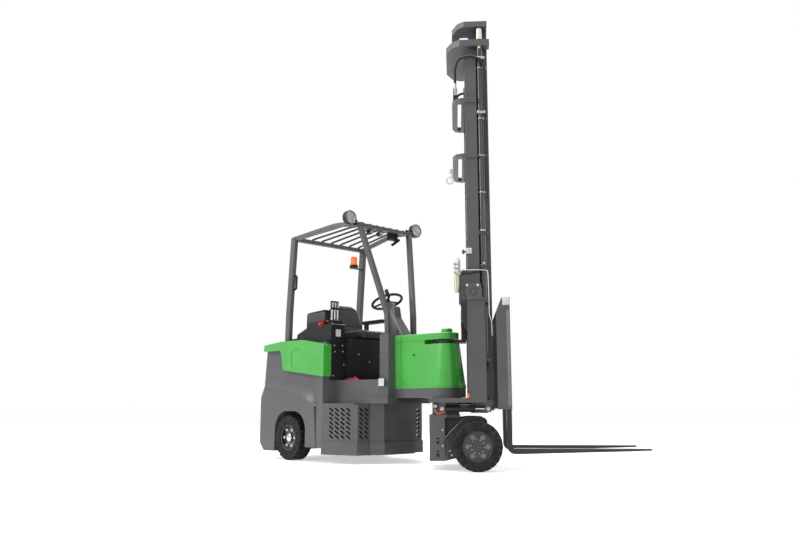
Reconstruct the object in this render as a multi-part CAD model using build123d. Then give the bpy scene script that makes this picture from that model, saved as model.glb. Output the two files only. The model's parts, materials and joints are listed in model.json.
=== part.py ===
from build123d import *
from math import acos, atan2, cos, hypot, sin
import os

os.makedirs("parts", exist_ok=True)

# Articulated narrow-aisle forklift. Sizes are in millimetres.
# The truck is two units hinged about an upright axis. Both are drawn with that axis at x = y = 0
# and the floor at z = 0: the chassis runs back from it, the front unit forward along its own x.
# The finished truck is moved so that its box's bottom centre is the origin.
# Sections are listed for the right-hand side (y below zero) and mirrored to the left.

# How the truck is parked
PARKED_TURN = 43.46          # degrees that the front unit is turned to the left

# Running clearances
SEAT_GAP = 0.2               # between pieces that are fixed to each other
RUN_GAP = 0.3                # between round pieces that turn or slide on each other

# Chassis, rear body
REAR_X = -2130
REAR_TOP_X = -2092
REAR_LEAN_Z = 720            # where the rear wall starts to lean in
FRONT_WALL_X = -1070
BODY_HALF = 600
PANEL_STEP = 40              # how far the lower side panels stand proud of the upper ones
BODY_FOOT_Z = 80
BODY_SILL_Z = 138            # underside of the body ahead of the arch
BODY_CHAMFER_X = -2056
BODY_CHAMFER_Z = 157
BODY_TOP_Z = 1130
BODY_WALL = 45
ARCH_HALF = 264
ARCH_TOP_Z = 476
ARCH_INNER_Y = 405
ARCH_ROUND = 190
TUB_FLOOR_Z = 505
TUB_REAR_X = -1990
BATTERY_GAP = 12
BATTERY_TOP_Z = 1075
DECK_THICK = 20
COVER_DEPTH = 42
COVER_ROUND = 16
COVER_WRAP = 43
COVER_STAND = 6
BATTERY_MARGIN = 120

# Rear wheels and axle
REAR_AXLE_X = -1629
REAR_TYRE_R = 217.7
REAR_TYRE_WIDTH = 158
REAR_WHEEL_FACE_Y = 596
REAR_AXLE_TUBE_R = 62
AXLE_TUNNEL_HALF = 105
AXLE_TUNNEL_Z = 305
AXLE_PAD_Y = 250

# Front wheels and axle
FRONT_AXLE_X = 248.5
FRONT_TYRE_R = 203
FRONT_TYRE_WIDTH = 152
FRONT_WHEEL_FACE_Y = 554
FRONT_AXLE_TUBE_R = 70

# Wheel details, both sizes
RIM_R = 122
RIM_SHELL = 9
BEAD_R = 140
BEAD_STEP = 7
TYRE_SHOULDER = 12
RIM_DISH = 26
DISC_THICK = 14
HUB_R = 46
HUB_LENGTH = 58
SPINDLE_R = 24
SPINDLE_LENGTH = 62
HAND_HOLES = 6
HAND_HOLE_R = 12
HAND_HOLE_CIRCLE = 85
LUG_GROOVES = 22
GROOVE_WIDTH = 15
GROOVE_DEPTH = 13
GROOVE_LENGTH = 50
GROOVE_SKEW = 14

# Chassis, step box below the floor
STEP_FOOT_Z = 80
SKIRT_TOP_Z = 195
STEP_TOP_Z = 545
STEP_FRONT_X = -620
STEP_CORNER_X = -710
STEP_FRONT_HALF = 210
STEP_CHAMFER_HALF = 305
STEP_SIDE_HALF = 455
STEP_REAR_HALF = BODY_HALF - 10
SKIRT_STAND = 12
STEP_WALL = 10
STEP_FAR_SHARE = 0.8         # the step is narrower on the left

# Floor, bulkhead and nose
PLATE_Z0 = 550
PLATE_Z1 = 610
SILL_Z = 770
FLOOR_Z = 722
SILL_REAR_HALF = 427
SILL_WALL = 28
PLATE_MARGIN = 14
BULKHEAD_REAR_X = -635
BULKHEAD_FRONT_X = -508
BULKHEAD_HALF = 262
BULKHEAD_TOP_Z = 1190
MAT_THICK = 8
NOSE_Z0 = 600
NOSE_SEAM_Z = 684
NOSE_TOP_Z = 1078
CAP_Z0 = 1119
CAP_Z1 = 1178
BOSS_Z = 1219
NOSE_FOOT_R = 164
NOSE_TOP_R = 112
CAP_R = 106
NOSE_ROOT_HALF = 174
NOSE_FOLD_X = -464
NOSE_FOLD_HALF = 160
BOSS_R = 50
SLOT_REAR_X = -165
SEAM_DEPTH = 5
SEAM_HEIGHT = 6

# Pivot between the two units
LOWER_PIN_R = 45
LOWER_PIN_TOP_Z = 672
UPPER_PIN_R = 30
BEARING_R = 130

# Overhead guard
POST_FOOT_X = -618
POST_FOOT_HALF = 166
POST_KNEE_Z = 1400
ROOF_FRONT_X = -855
ROOF_FRONT_HALF = 328
ROOF_REAR_X = -1775
ROOF_REAR_HALF = 470
ROOF_Z = 2285
ROOF_CROWN_Z = 2330
ROOF_CROWN_X = -1150
REAR_POST_FOOT_X = -1842
FRONT_POST = (56, 44)
REAR_POST = (76, 50)
ROOF_RAIL = (44, 42)
ROOF_BARS = 7
ROOF_BAR = (20, 10)
VISOR_REAR_X = -1045
VISOR_HALF = 300
VISOR_THICK = 6
LAMP_R = 72
LAMP_DEPTH = 58
LAMP_X = -920
LAMP_Z = 2342
LAMP_STAND = 20              # between the roof rail and the lamp's middle, beside its radius
SMALL_LAMP_R = 24
SMALL_LAMPS_Y = (-150, -20)
BEACON_X = -1735
BEACON_ARM = 140
BEACON_FOOT_Z = 2046
BEACON_BASE = 28
BEACON_R = 36
BEACON_DOME = 97

# Driver's place
PEDESTAL_FRONT_X = -1000
PEDESTAL_RAKE = 45
PEDESTAL_REAR_X = -1560
CONSOLE_HALF = BODY_HALF - 100
CONSOLE_WIDTH = 165
PEDESTAL_HALF = CONSOLE_HALF - CONSOLE_WIDTH
SEAT_PLATE_Z = 1112
SEAT_PLATE_THICK = 14
CUSHION_THICK = 95
CUSHION_FRONT_X = -930
CUSHION_LENGTH = 480
CUSHION_HALF = 235
BACK_Z = 1590
BACK_HALF = 225
BACK_THICK = 95
BACK_RAKE = 12
CABINET_REAR_X = -1990
CABINET_FRONT_X = CABINET_REAR_X + 330
CABINET_HALF = ROOF_REAR_HALF - REAR_POST[1]
CABINET_Z = 1222
CONSOLE_REAR_X = CABINET_FRONT_X + 5
PANEL_HALF = BODY_HALF - COVER_DEPTH - COVER_WRAP - 2
CONSOLE_Z = 1308
CONSOLE_BOX = (-1480, -1180)
CONSOLE_BOX_Z = 1458
SIDE_PANEL = 6
LEVER_X = -1150
LEVER_Z = 1545
COLUMN_FOOT_X = -640
COLUMN_TOP_X = -822
COLUMN_TOP_Z = 1545
COLUMN_LEAN = 0.42
COLUMN_NECK = 28
WHEEL_R = 150
WHEEL_GRIP_R = 13

# Front unit frame
HOUSING_X0 = -150
HOUSING_X1 = -20
HOUSING_Z0 = 77
HOUSING_Z1 = 455
FRAME_HALF = 385
SIDE_PLATE = 35
TOP_PLATE = 24
CORE_HALF = 326              # the box between the axle housing and the platform, clear of the tilt cylinders
PLATFORM_Z0 = 556
PLATFORM_Z1 = 594
PLATFORM_HALF = 452
PLATFORM_FRONT_X = 330
NOTCH_X = 108
NOTCH_HALF = 397
TOWER_REAR_X = 182
TOWER_Y0 = 400
TOWER_Y1 = 450
TOWER_TOP_Z = 1432
BRACKET_TOP_Z = 1562
BRACKET_STAND = 12
ARM_DISC_R = 96
ARM_HALF = 68
ARM_Z0 = 1085
ARM_Z1 = 1112
BEAM_X0 = 130
BEAM_X1 = 174
BEAM_Z0 = 1255
BEAM_Z1 = 1400

# Mast: one row a stage with its rails' section and ends
TILT_X = 235
TILT_Z = 1490
TILT_PIN_R = 22
# x0, x1, y0, y1, web, flange, z0, z1
RAILS = {
    "outer": (188, 292, 340, 390, 14, 15, 560, 3680),
    "intermediate": (233, 345, 288, 334, 12, 16, 470, 3774),
    "inner": (281, 400, 238, 282, 12, 16, 490, 3960),
}
# stage, channel that it runs in, z low, z high
ROLLERS = (("intermediate", "outer", 640, 1040), ("inner", "intermediate", 600, 1000))
ROLLER_STUB_R = 12
ROLLER_SIDE_GAP = 3
STRAP_WRAP = 8               # how far the straps stand outside the rails
# z0, z1
STRAPS = ((3225, 3265), (2705, 2742))
# x, and how far in from the outer side
STRAP_CORNERS = ((153, 0), (103, 23), (74, 98))
STRAP_WINDOW = (125, 158)
BAND_CORNERS = ((149, 0), (80, 45), (25, 165))
CAP_CORNERS = ((190, 0), (130, 45), (80, 165))
BAND_HALF = 390
BAND_HEIGHT = 59
CAP_HEIGHT = 52
BAND_FRONT_X = 420
BAND_GAP = 12                # between a band and the next stage that passes it
STAGE_STOP_R = 25
HANGER = 6                   # thickness of the plates that hang the mast on its pins
CYLINDER_X = 328
CYLINDER_Y = 366
CYLINDER_R = 26
LIFT_ROD_R = 18
CYLINDER_Z1 = 3745
CLAMP_HEIGHT = 28
LIFT_CLAMP_Z = (900, 2000, 3114, 3637)
HOSE_X = 372
HOSE_Y = 378
HOSE_R = 12
HOSE_FOOT_Z = 2330
HOSE_LOOP_Y = 412
HOSE_BEND = 60
TILT_LUG_X = 344
TILT_LUG_Z = 505
TILT_ANCHOR_X = -43
TILT_Y = 366
TILT_BARREL_R = 27
TILT_ROD_R = 15
EYE_R = 25
EYE_HALF = 9
LUG_GAP = 2
LUG_REACH = 27
EYE_DRIFT = 2
LUG_PLATE = 13
LUG_PIN_R = 11
LUG_HEAD_R = 21

# x0, x1, half width, heights; the middle stage's bars lie behind its rails
CROSS_MIDDLE = (205, 233, 334, (470, 2400))
CROSS_INNER = (281, 297, 238, (490, 2500))
CROSS_HEIGHT = 80
CENTRE_CYLINDER_X = 348
CENTRE_CYLINDER_R = 42
CENTRE_CYLINDER_Z = 1950
CENTRE_ROD_R = 28
SHEAVE_R = 42
CHAIN_Y = 96

# Carriage and forks
CARRIAGE_X0 = 425
CARRIAGE_X1 = 540
CARRIAGE_HALF = 457
CARRIAGE_Z0 = 500
CARRIAGE_Z1 = 1438
CARRIAGE_CORNER = (49, 127)
END_PLATE = 28
BAR_X0 = 470
BAR_X1 = 502
FORK_BARS = ((505, 605), (830, 930))
FORK_Y = 279
FORK_HALF = 50
FORK_SHANK = 42
FORK_TOP_Z = 177
FORK_THICK = 45
FORK_TIP_THICK = 14
FORK_TIP_X = 1691
FORK_HEEL_R = 60
FORK_HEAD_Z = 960
TAPER_START = 620
GUARD_BARS = 6
GUARD_BAR = 26
CARRIAGE_PLATE_Y0 = 205
CARRIAGE_PLATE_Y1 = 225
CARRIAGE_PLATE_X0 = 318
CARRIAGE_ROLLER_Z = (560, 900)


def block(x0, x1, y0, y1, z0, z1):
    """A box from its two corners."""
    size = Box(x1 - x0, y1 - y0, z1 - z0)
    return Pos((x0 + x1) / 2, (y0 + y1) / 2, (z0 + z1) / 2) * size


def plate_up(outline, z0, z1, radius=0):
    """An outline of (x, y) points raised from z0 to z1, its corners rounded by radius."""
    points = [(x, y, z0) for x, y in outline]
    wire = FilletPolyline(*points, radius=radius, close=True) if radius else Polyline(*points, close=True)
    return extrude(make_face(wire), amount=z1 - z0, dir=(0, 0, 1))


def plate_across(outline, y0, y1, radius=0):
    """An outline of (x, z) points carried across from y0 to y1, its corners rounded by radius."""
    points = [(x, y0, z) for x, z in outline]
    wire = FilletPolyline(*points, radius=radius, close=True) if radius else Polyline(*points, close=True)
    return extrude(make_face(wire), amount=y1 - y0, dir=(0, 1, 0))


def rod_up(x, y, r, z0, z1):
    return Pos(x, y, (z0 + z1) / 2) * Cylinder(r, z1 - z0)


def rod_across(x, z, r, y0, y1):
    return Pos(x, (y0 + y1) / 2, z) * Rot(90, 0, 0) * Cylinder(r, y1 - y0)


def rod_along(y, z, r, x0, x1):
    return Pos((x0 + x1) / 2, y, z) * Rot(0, 90, 0) * Cylinder(r, x1 - x0)


def group(shapes):
    """Solids that share a node and don't touch."""
    return Compound(children=[solid for shape in shapes for solid in shape.solids()])


def mirrored(shape):
    return mirror(shape, about=Plane.XZ)


def both(shape):
    """The shape with its mirror image, as one node of two solids or of one that they share."""
    return shape + mirrored(shape)


def beam(path, width, depth, up=(0, 0, 1)):
    """A rectangular tube along a path, its width across and its depth along up."""
    start = Plane(origin=path @ 0, x_dir=Vector(up).cross(path % 0), z_dir=path % 0)
    return sweep(start * RectangleRounded(width, depth, min(width, depth) * 0.2), path=path)


def teardrop(z, r, root_half, fold_half):
    """The nose's section: a folded root at the bulkhead and an arc round the pivot."""
    distance = hypot(NOSE_FOLD_X, fold_half)
    touch = atan2(fold_half, NOSE_FOLD_X) - acos(r / distance)
    tx, ty = r * cos(touch), r * sin(touch)
    root = Polyline((tx, -ty, z), (NOSE_FOLD_X, -fold_half, z), (BULKHEAD_FRONT_X, -root_half, z),
                    (BULKHEAD_FRONT_X, root_half, z), (NOSE_FOLD_X, fold_half, z), (tx, ty, z))
    return make_face(root + ThreePointArc((tx, ty, z), (r, 0, z), (tx, -ty, z)))


# Wheels. Each is drawn with its outer face towards the right, its axle along y.

def tyre(radius, width, face_y, inner_r):
    """A solid tyre with a stepped bead and grooves that leave lugs on both shoulders."""
    s = TYRE_SHOULDER
    section = ((inner_r, -face_y + BEAD_STEP), (BEAD_R, -face_y + BEAD_STEP), (BEAD_R + BEAD_STEP, -face_y),
               (radius - s, -face_y), (radius, -face_y + s), (radius, -face_y + width - s),
               (radius - s, -face_y + width), (inner_r, -face_y + width))
    ring = revolve(make_face(Polyline(*[(r, y, 0) for r, y in section], close=True)), Axis.Y)
    groove = Box(GROOVE_WIDTH, GROOVE_LENGTH, 2 * GROOVE_DEPTH)
    grooves = []
    for k in range(LUG_GROOVES):
        for side, skew, phase in ((-1, GROOVE_SKEW, 0), (1, -GROOVE_SKEW, 0.5)):
            y = -face_y + width / 2 + side * (width - GROOVE_LENGTH) / 2 + side * 6
            turn = Rot(0, 360 * (k + phase) / LUG_GROOVES, 0)
            grooves.append(turn * Pos(0, y, radius) * Rot(0, 0, skew) * groove)
    return ring - grooves


def rim(width, face_y, outer_r):
    """A dished steel rim with a hub that turns on the spindle."""
    outer, inner = -face_y + 8, -face_y + width - 8
    disc = outer + RIM_DISH
    barrel = rod_across(0, 0, outer_r, outer, inner) - rod_across(0, 0, outer_r - RIM_SHELL, outer, inner)
    web = rod_across(0, 0, outer_r - RIM_SHELL / 2, disc, disc + DISC_THICK)
    hub = rod_across(0, 0, HUB_R, disc - 16, disc + HUB_LENGTH)
    wheel = barrel + web + hub
    holes = [Rot(0, 360 * k / HAND_HOLES, 0) * rod_across(HAND_HOLE_CIRCLE, 0, HAND_HOLE_R, disc,
                                                          disc + DISC_THICK)
             for k in range(HAND_HOLES)]
    socket = rod_across(0, 0, SPINDLE_R + RUN_GAP, disc + 6, disc + HUB_LENGTH)
    return wheel - holes - socket


def spindle(tube_r, face_y, width):
    """The end of an axle on the right: its flange beside the wheel and the spindle inside the hub."""
    disc = -face_y + 8 + RIM_DISH
    flange_y = -face_y + width + 4
    pin = rod_across(0, 0, SPINDLE_R, disc + 8, flange_y)
    collar = rod_across(0, 0, HUB_R - 4, disc + HUB_LENGTH + RUN_GAP, flange_y)
    return pin + collar


# Chassis

def wheel_arch():
    """The hollow round a rear wheel: a rounded opening that runs in to the arch's inner wall."""
    x0, x1 = REAR_AXLE_X - ARCH_HALF + 35, REAR_AXLE_X + ARCH_HALF + 35
    outline = ((x0, BODY_FOOT_Z - 40), (x0, ARCH_TOP_Z), (x1, ARCH_TOP_Z), (x1, BODY_FOOT_Z - 40))
    points = [(x, -BODY_HALF - 1, z) for x, z in outline]
    wire = FilletPolyline(*points, radius=[0, ARCH_ROUND, ARCH_ROUND, 0], close=True)
    return extrude(make_face(wire), amount=BODY_HALF + 1 - ARCH_INNER_Y, dir=(0, 1, 0))


def cover_outline(top):
    """The green side cover's outline; top raises its upper edge."""
    return ((-2098, 1083), (-1790, 1083), (-1765, 1030), (-1735, 900), (-1715, 880), (-1046, 800),
            (-1046, 1110 + top), (-1405, 1168 + top), (-1780, 1172 + top), (-2088, 1150 + top))


def rear_body():
    """The counterweight body: stepped side panels, wheel arches and an open tub for the battery."""
    outline = ((BODY_CHAMFER_X, BODY_FOOT_Z), (-1880, BODY_FOOT_Z), (-1340, BODY_SILL_Z),
               (FRONT_WALL_X, BODY_SILL_Z),
               (FRONT_WALL_X, BODY_TOP_Z), (REAR_TOP_X, BODY_TOP_Z), (REAR_X, REAR_LEAN_Z),
               (REAR_X, BODY_CHAMFER_Z))
    upper = BODY_HALF - PANEL_STEP
    body = plate_across(outline, -upper, upper)
    low = ((REAR_X, 157), (REAR_X, 660), (-1925, 800), (-1300, 712), (-1190, 535), (-1150, 138),
           (-1340, 138),
           (-1880, 80), (BODY_CHAMFER_X, 80))
    high = ((REAR_X, 157), (REAR_X, 610), (-2070, 722), (-1410, 642), (-1200, 520), (-1160, 138),
            (-1340, 138),
            (-1880, 80), (BODY_CHAMFER_X, 80))
    root = make_face(Polyline(*[(x, -upper, z) for x, z in low], close=True))
    crest = make_face(Polyline(*[(x, -BODY_HALF, z) for x, z in high], close=True))
    body += both(loft([root, crest], ruled=True))
    strip = block(FRONT_WALL_X - 95, FRONT_WALL_X, -BODY_HALF + 8, -upper, BODY_SILL_Z, 830)
    body += both(strip)
    cover_bed = plate_across(cover_outline(40), -BODY_HALF - 1, -BODY_HALF + COVER_DEPTH)
    body -= both(cover_bed + plate_across(cover_outline(0), -BODY_HALF - 1, -BODY_HALF + COVER_DEPTH,
                                          radius=COVER_ROUND))
    body -= both(wheel_arch())
    body -= block(TUB_REAR_X, FRONT_WALL_X - BODY_WALL, -BODY_HALF + COVER_DEPTH + BODY_WALL,
                  BODY_HALF - COVER_DEPTH - BODY_WALL, TUB_FLOOR_Z, BODY_TOP_Z)
    body -= block(REAR_AXLE_X - AXLE_TUNNEL_HALF, REAR_AXLE_X + AXLE_TUNNEL_HALF, -ARCH_INNER_Y,
                  ARCH_INNER_Y,
                  0, AXLE_TUNNEL_Z)
    return body


def side_cover():
    """A moulded cover over the upper flank, wrapped round the front corner, with a shallow pocket."""
    face = plate_across(cover_outline(0), -BODY_HALF - COVER_STAND, -BODY_HALF + COVER_DEPTH,
                        radius=COVER_ROUND)
    corner = block(FRONT_WALL_X, FRONT_WALL_X + 24, -BODY_HALF + COVER_DEPTH,
                   -BODY_HALF + COVER_DEPTH + COVER_WRAP, 803, 1108)
    pocket = plate_across(((-1590, 905), (-1590, 1075), (-1385, 1090), (-1385, 880)),
                          -BODY_HALF - COVER_STAND, -BODY_HALF + 2,
                          radius=30)
    return face + corner - pocket


def battery():
    half = BODY_HALF - BATTERY_MARGIN
    return block(TUB_REAR_X + BATTERY_GAP, FRONT_WALL_X - BODY_WALL - BATTERY_GAP, -half, half,
                 TUB_FLOOR_Z, BATTERY_TOP_Z)


def deck():
    """The lid of the tub, which carries the seat's pedestal and the rear cabinet."""
    return block(REAR_TOP_X + 12, FRONT_WALL_X, -BODY_HALF + COVER_DEPTH + 4, BODY_HALF - COVER_DEPTH - 4,
                 BODY_TOP_Z, BODY_TOP_Z + DECK_THICK)


def rear_axle():
    tube = rod_across(REAR_AXLE_X, REAR_TYRE_R, REAR_AXLE_TUBE_R, -ARCH_INNER_Y + 4, ARCH_INNER_Y - 4)
    pad = block(REAR_AXLE_X - 60, REAR_AXLE_X + 60, -AXLE_PAD_Y - 45, -AXLE_PAD_Y + 45, REAR_TYRE_R,
                AXLE_TUNNEL_Z)
    bulge = Pos(REAR_AXLE_X, 0, REAR_TYRE_R) * Sphere(REAR_AXLE_TUBE_R + 22)
    end = Pos(REAR_AXLE_X, 0, REAR_TYRE_R) * spindle(REAR_AXLE_TUBE_R, REAR_WHEEL_FACE_Y, REAR_TYRE_WIDTH)
    reach = rod_across(REAR_AXLE_X, REAR_TYRE_R, HUB_R - 4, -REAR_WHEEL_FACE_Y + REAR_TYRE_WIDTH + 4,
                       -ARCH_INNER_Y + 4)
    return tube + both(pad) + bulge + both(end) + both(reach)


def step_outline(grow):
    """The step box in plan, narrower on the left, widened by grow."""
    right = ((FRONT_WALL_X, -STEP_REAR_HALF - grow), (STEP_CORNER_X + grow * 0.4, -STEP_SIDE_HALF - grow),
             (STEP_CORNER_X + grow * 0.8, -STEP_CHAMFER_HALF - grow * 0.4),
             (STEP_FRONT_X + grow, -STEP_FRONT_HALF - grow * 0.4))
    return right + tuple((x, -y * STEP_FAR_SHARE) for x, y in reversed(right))


def step_box():
    """The box that holds the step, hollow, with a skirt round its foot and windows for the grilles."""
    shell = plate_up(step_outline(0), STEP_FOOT_Z, PLATE_Z0)
    shell += plate_up(step_outline(SKIRT_STAND), STEP_FOOT_Z, SKIRT_TOP_Z)
    shell -= plate_up(step_outline(-STEP_WALL), STEP_FOOT_Z + STEP_WALL, PLATE_Z0 - STEP_WALL)
    return shell


# start x, start y, end x, end y, share of the panel's length that its slots take
SLOT_PANELS = ((FRONT_WALL_X, -STEP_REAR_HALF, STEP_CORNER_X, -STEP_SIDE_HALF, 0.66),
               (STEP_CORNER_X, -STEP_SIDE_HALF, STEP_CORNER_X, -STEP_CHAMFER_HALF, 0.9))
SLOT_FIELD = 290
SLOT_SIZE = (54, 17)
SLOT_SLANT = 38
SLOT_PITCH = (62, 41)
SLOT_Z = 245


def grille_slots(side):
    """Rows of slanted slots through the step box's panels; side is 1 on the right, minus the share on the left."""
    slots = []
    hole = Box(SLOT_SIZE[0], SLOT_SIZE[1], 4 * STEP_WALL)
    rows = int(SLOT_FIELD / SLOT_PITCH[1])
    for x0, y0, x1, y1, share in SLOT_PANELS:
        panel = Vector(x1 - x0, (y1 - y0) * side, 0)
        along = panel.normalized()
        middle = Vector((x0 + x1) / 2, (y0 + y1) * side / 2, SLOT_Z)
        slant = SLOT_SLANT if side > 0 else -SLOT_SLANT
        plane = Plane(origin=middle, x_dir=along, z_dir=Vector(0, 0, 1).cross(along))
        columns = int(share * panel.length / SLOT_PITCH[0])
        for column in range(columns):
            for row in range(rows):
                x = (column - (columns - 1) / 2) * SLOT_PITCH[0]
                slots.append(plane * Pos(x, -row * SLOT_PITCH[1], 0) * Rot(0, 0, slant) * hole)
    return slots


def main_plate():
    """The deep plate between the step box and the floor, from the body to the bulkhead."""
    right = ((FRONT_WALL_X, -SILL_REAR_HALF - PLATE_MARGIN),
             (BULKHEAD_FRONT_X + 16, -BULKHEAD_HALF - PLATE_MARGIN))
    outline = right + tuple((x, -y) for x, y in reversed(right))
    ledge = block(BULKHEAD_FRONT_X, 0, -BODY_HALF, BODY_HALF, NOSE_Z0, PLATE_Z1)
    return plate_up(outline, PLATE_Z0, PLATE_Z1) - ledge


def cab_floor():
    """The floor as a shallow tray: sills at both sides and an open rear against the body."""
    right = ((FRONT_WALL_X, -SILL_REAR_HALF), (BULKHEAD_REAR_X, -BULKHEAD_HALF - 34))
    tray = plate_up(right + tuple((x, -y) for x, y in reversed(right)), PLATE_Z1, SILL_Z)
    inner = ((FRONT_WALL_X - 1, -SILL_REAR_HALF + SILL_WALL),
             (BULKHEAD_REAR_X + 1, -BULKHEAD_HALF - 34 + SILL_WALL))
    return tray - plate_up(inner + tuple((x, -y) for x, y in reversed(inner)), FLOOR_Z, SILL_Z)


def floor_mat():
    inner = ((FRONT_WALL_X + 20, -SILL_REAR_HALF + SILL_WALL + 20),
             (BULKHEAD_REAR_X - 15, -BULKHEAD_HALF + 15))
    return plate_up(inner + tuple((x, -y) for x, y in reversed(inner)), FLOOR_Z, FLOOR_Z + MAT_THICK)


def bulkhead():
    """The upright box that carries the nose, the front posts and the steering column."""
    right = ((BULKHEAD_REAR_X, -BULKHEAD_HALF - 34), (BULKHEAD_FRONT_X, -BULKHEAD_HALF))
    foot = plate_up(right + tuple((x, -y) for x, y in reversed(right)), PLATE_Z1, SILL_Z)
    column = block(BULKHEAD_REAR_X, BULKHEAD_FRONT_X, -BULKHEAD_HALF, BULKHEAD_HALF, SILL_Z, BULKHEAD_TOP_Z)
    column = fillet(column.edges().filter_by(Axis.Z), 12)
    return foot + column


def pedals():
    """Two pedals on arms that hang from the bulkhead's rear face."""
    arm = block(BULKHEAD_REAR_X - 70, BULKHEAD_REAR_X, -8, 8, 880, 900)
    pad = Pos(BULKHEAD_REAR_X - 78, 0, 862) * Rot(0, 25, 0) * Box(14, 76, 96)
    return Pos(0, -150, 0) * (arm + pad) + Pos(0, -20, 0) * (arm + pad)


def nose_band():
    band = extrude(teardrop(NOSE_Z0, NOSE_FOOT_R, NOSE_ROOT_HALF, NOSE_FOOT_R),
                   amount=NOSE_SEAM_Z - NOSE_Z0, dir=(0, 0, 1))
    return band - rod_up(0, 0, LOWER_PIN_R + RUN_GAP, NOSE_Z0, LOWER_PIN_TOP_Z + 6)


def nose_housing():
    """The green housing: straight for its lip, then drawn in towards the top."""
    lip = extrude(teardrop(NOSE_SEAM_Z, NOSE_FOOT_R + 3, NOSE_ROOT_HALF, NOSE_FOOT_R), amount=26,
                  dir=(0, 0, 1))
    foot = teardrop(NOSE_SEAM_Z + 26, NOSE_FOOT_R - 3, NOSE_ROOT_HALF, NOSE_FOLD_HALF)
    top = teardrop(NOSE_TOP_Z, NOSE_TOP_R, NOSE_ROOT_HALF, NOSE_FOLD_HALF - 6)
    return lip + loft([foot, top], ruled=True)


def nose_cap():
    """The cap over the slot: its rear part closes the slot and its boss and pin hold the upper arm."""
    cap = extrude(teardrop(CAP_Z0, CAP_R, NOSE_ROOT_HALF, NOSE_FOLD_HALF - 8), amount=CAP_Z1 - CAP_Z0,
                  dir=(0, 0, 1))
    cap = fillet(cap.edges().group_by(Axis.Z)[-1], 9)
    fold = NOSE_FOLD_HALF - 8
    shoulder = teardrop(NOSE_TOP_Z, CAP_R, NOSE_ROOT_HALF, fold)
    closing = extrude(shoulder, amount=CAP_Z0 - SEAM_HEIGHT - NOSE_TOP_Z, dir=(0, 0, 1))
    seam = teardrop(CAP_Z0 - SEAM_HEIGHT, CAP_R - SEAM_DEPTH, NOSE_ROOT_HALF - SEAM_DEPTH,
                    fold - SEAM_DEPTH)
    closing += extrude(seam, amount=SEAM_HEIGHT, dir=(0, 0, 1))
    closing -= block(SLOT_REAR_X, NOSE_TOP_R * 2, -BODY_HALF, BODY_HALF, NOSE_TOP_Z, CAP_Z0)
    boss = rod_up(0, 0, BOSS_R, CAP_Z1 - 5, BOSS_Z)
    boss = fillet(boss.edges().group_by(Axis.Z)[-1], 14)
    pin = rod_up(0, 0, UPPER_PIN_R, NOSE_TOP_Z, CAP_Z0)
    return cap + closing + boss + pin


# Overhead guard

def guard_frame():
    """Four posts and the roof's side and cross rails, welded into one frame."""
    foot, knee = (POST_FOOT_X, -POST_FOOT_HALF, BULKHEAD_TOP_Z - 6), (POST_FOOT_X - 8, -POST_FOOT_HALF - 4,
                                                                      POST_KNEE_Z)
    head = (ROOF_FRONT_X, -ROOF_FRONT_HALF, ROOF_Z - 10)
    front = beam(FilletPolyline(foot, knee, head, radius=120), FRONT_POST[1], FRONT_POST[0], up=(1, 0, 0))
    rear_foot = (REAR_POST_FOOT_X, -ROOF_REAR_HALF, BODY_TOP_Z + DECK_THICK - 6)
    rear_knee = (REAR_POST_FOOT_X + 6, -ROOF_REAR_HALF, 1450)
    rear = beam(FilletPolyline(rear_foot, rear_knee, (ROOF_REAR_X, -ROOF_REAR_HALF, ROOF_Z - 12),
                               radius=400),
                REAR_POST[1], REAR_POST[0], up=(1, 0, 0))
    side_points = ((ROOF_REAR_X - 30, -ROOF_REAR_HALF, ROOF_Z - 20),
                   (ROOF_CROWN_X, -ROOF_FRONT_HALF - 46, ROOF_CROWN_Z),
                   (ROOF_FRONT_X + 30, -ROOF_FRONT_HALF + 5, ROOF_Z))
    side = beam(FilletPolyline(*side_points, radius=900), ROOF_RAIL[1], ROOF_RAIL[0])
    rear_cross = block(ROOF_REAR_X - 22, ROOF_REAR_X + 22, -ROOF_REAR_HALF, ROOF_REAR_HALF, ROOF_Z - 42,
                       ROOF_Z - 2)
    front_cross = block(ROOF_FRONT_X - 20, ROOF_FRONT_X + 20, -ROOF_FRONT_HALF, ROOF_FRONT_HALF,
                        ROOF_Z - 18, ROOF_Z + 18)
    below = block(FRONT_WALL_X, 0, -BODY_HALF, BODY_HALF, PLATE_Z0, BULKHEAD_TOP_Z)
    below += block(REAR_X, FRONT_WALL_X, -BODY_HALF, BODY_HALF, PLATE_Z0, BODY_TOP_Z + DECK_THICK)
    return both(front) + both(rear) + both(side) + rear_cross + front_cross - below


def roof_bars():
    """The bars over the driver's head, from the rear cross rail to the front one."""
    bars = []
    for k in range(ROOF_BARS):
        share = 2 * k / (ROOF_BARS - 1) - 1
        rear = (ROOF_REAR_X + 20, share * (ROOF_REAR_HALF - 90), ROOF_Z + 2)
        crown = (ROOF_CROWN_X, share * (ROOF_FRONT_HALF - 30), ROOF_CROWN_Z + 2)
        front = (ROOF_FRONT_X - 14, share * (ROOF_FRONT_HALF - 60), ROOF_Z + 26)
        bars.append(beam(FilletPolyline(rear, crown, front, radius=600), ROOF_BAR[1], ROOF_BAR[0]))
    return bars


def visor():
    """The plate under the bars at the front of the roof, welded to the front cross rail."""
    front_x = ROOF_FRONT_X - 20
    slope = (ROOF_CROWN_Z - ROOF_Z) / (ROOF_FRONT_X - ROOF_CROWN_X) * 0.6
    z = ROOF_Z + 14
    rise = slope * (front_x - VISOR_REAR_X)
    side = ((front_x, z - VISOR_THICK), (front_x, z), (VISOR_REAR_X, z + rise),
            (VISOR_REAR_X, z + rise - VISOR_THICK))
    return plate_across(side, -VISOR_HALF, VISOR_HALF)


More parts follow.
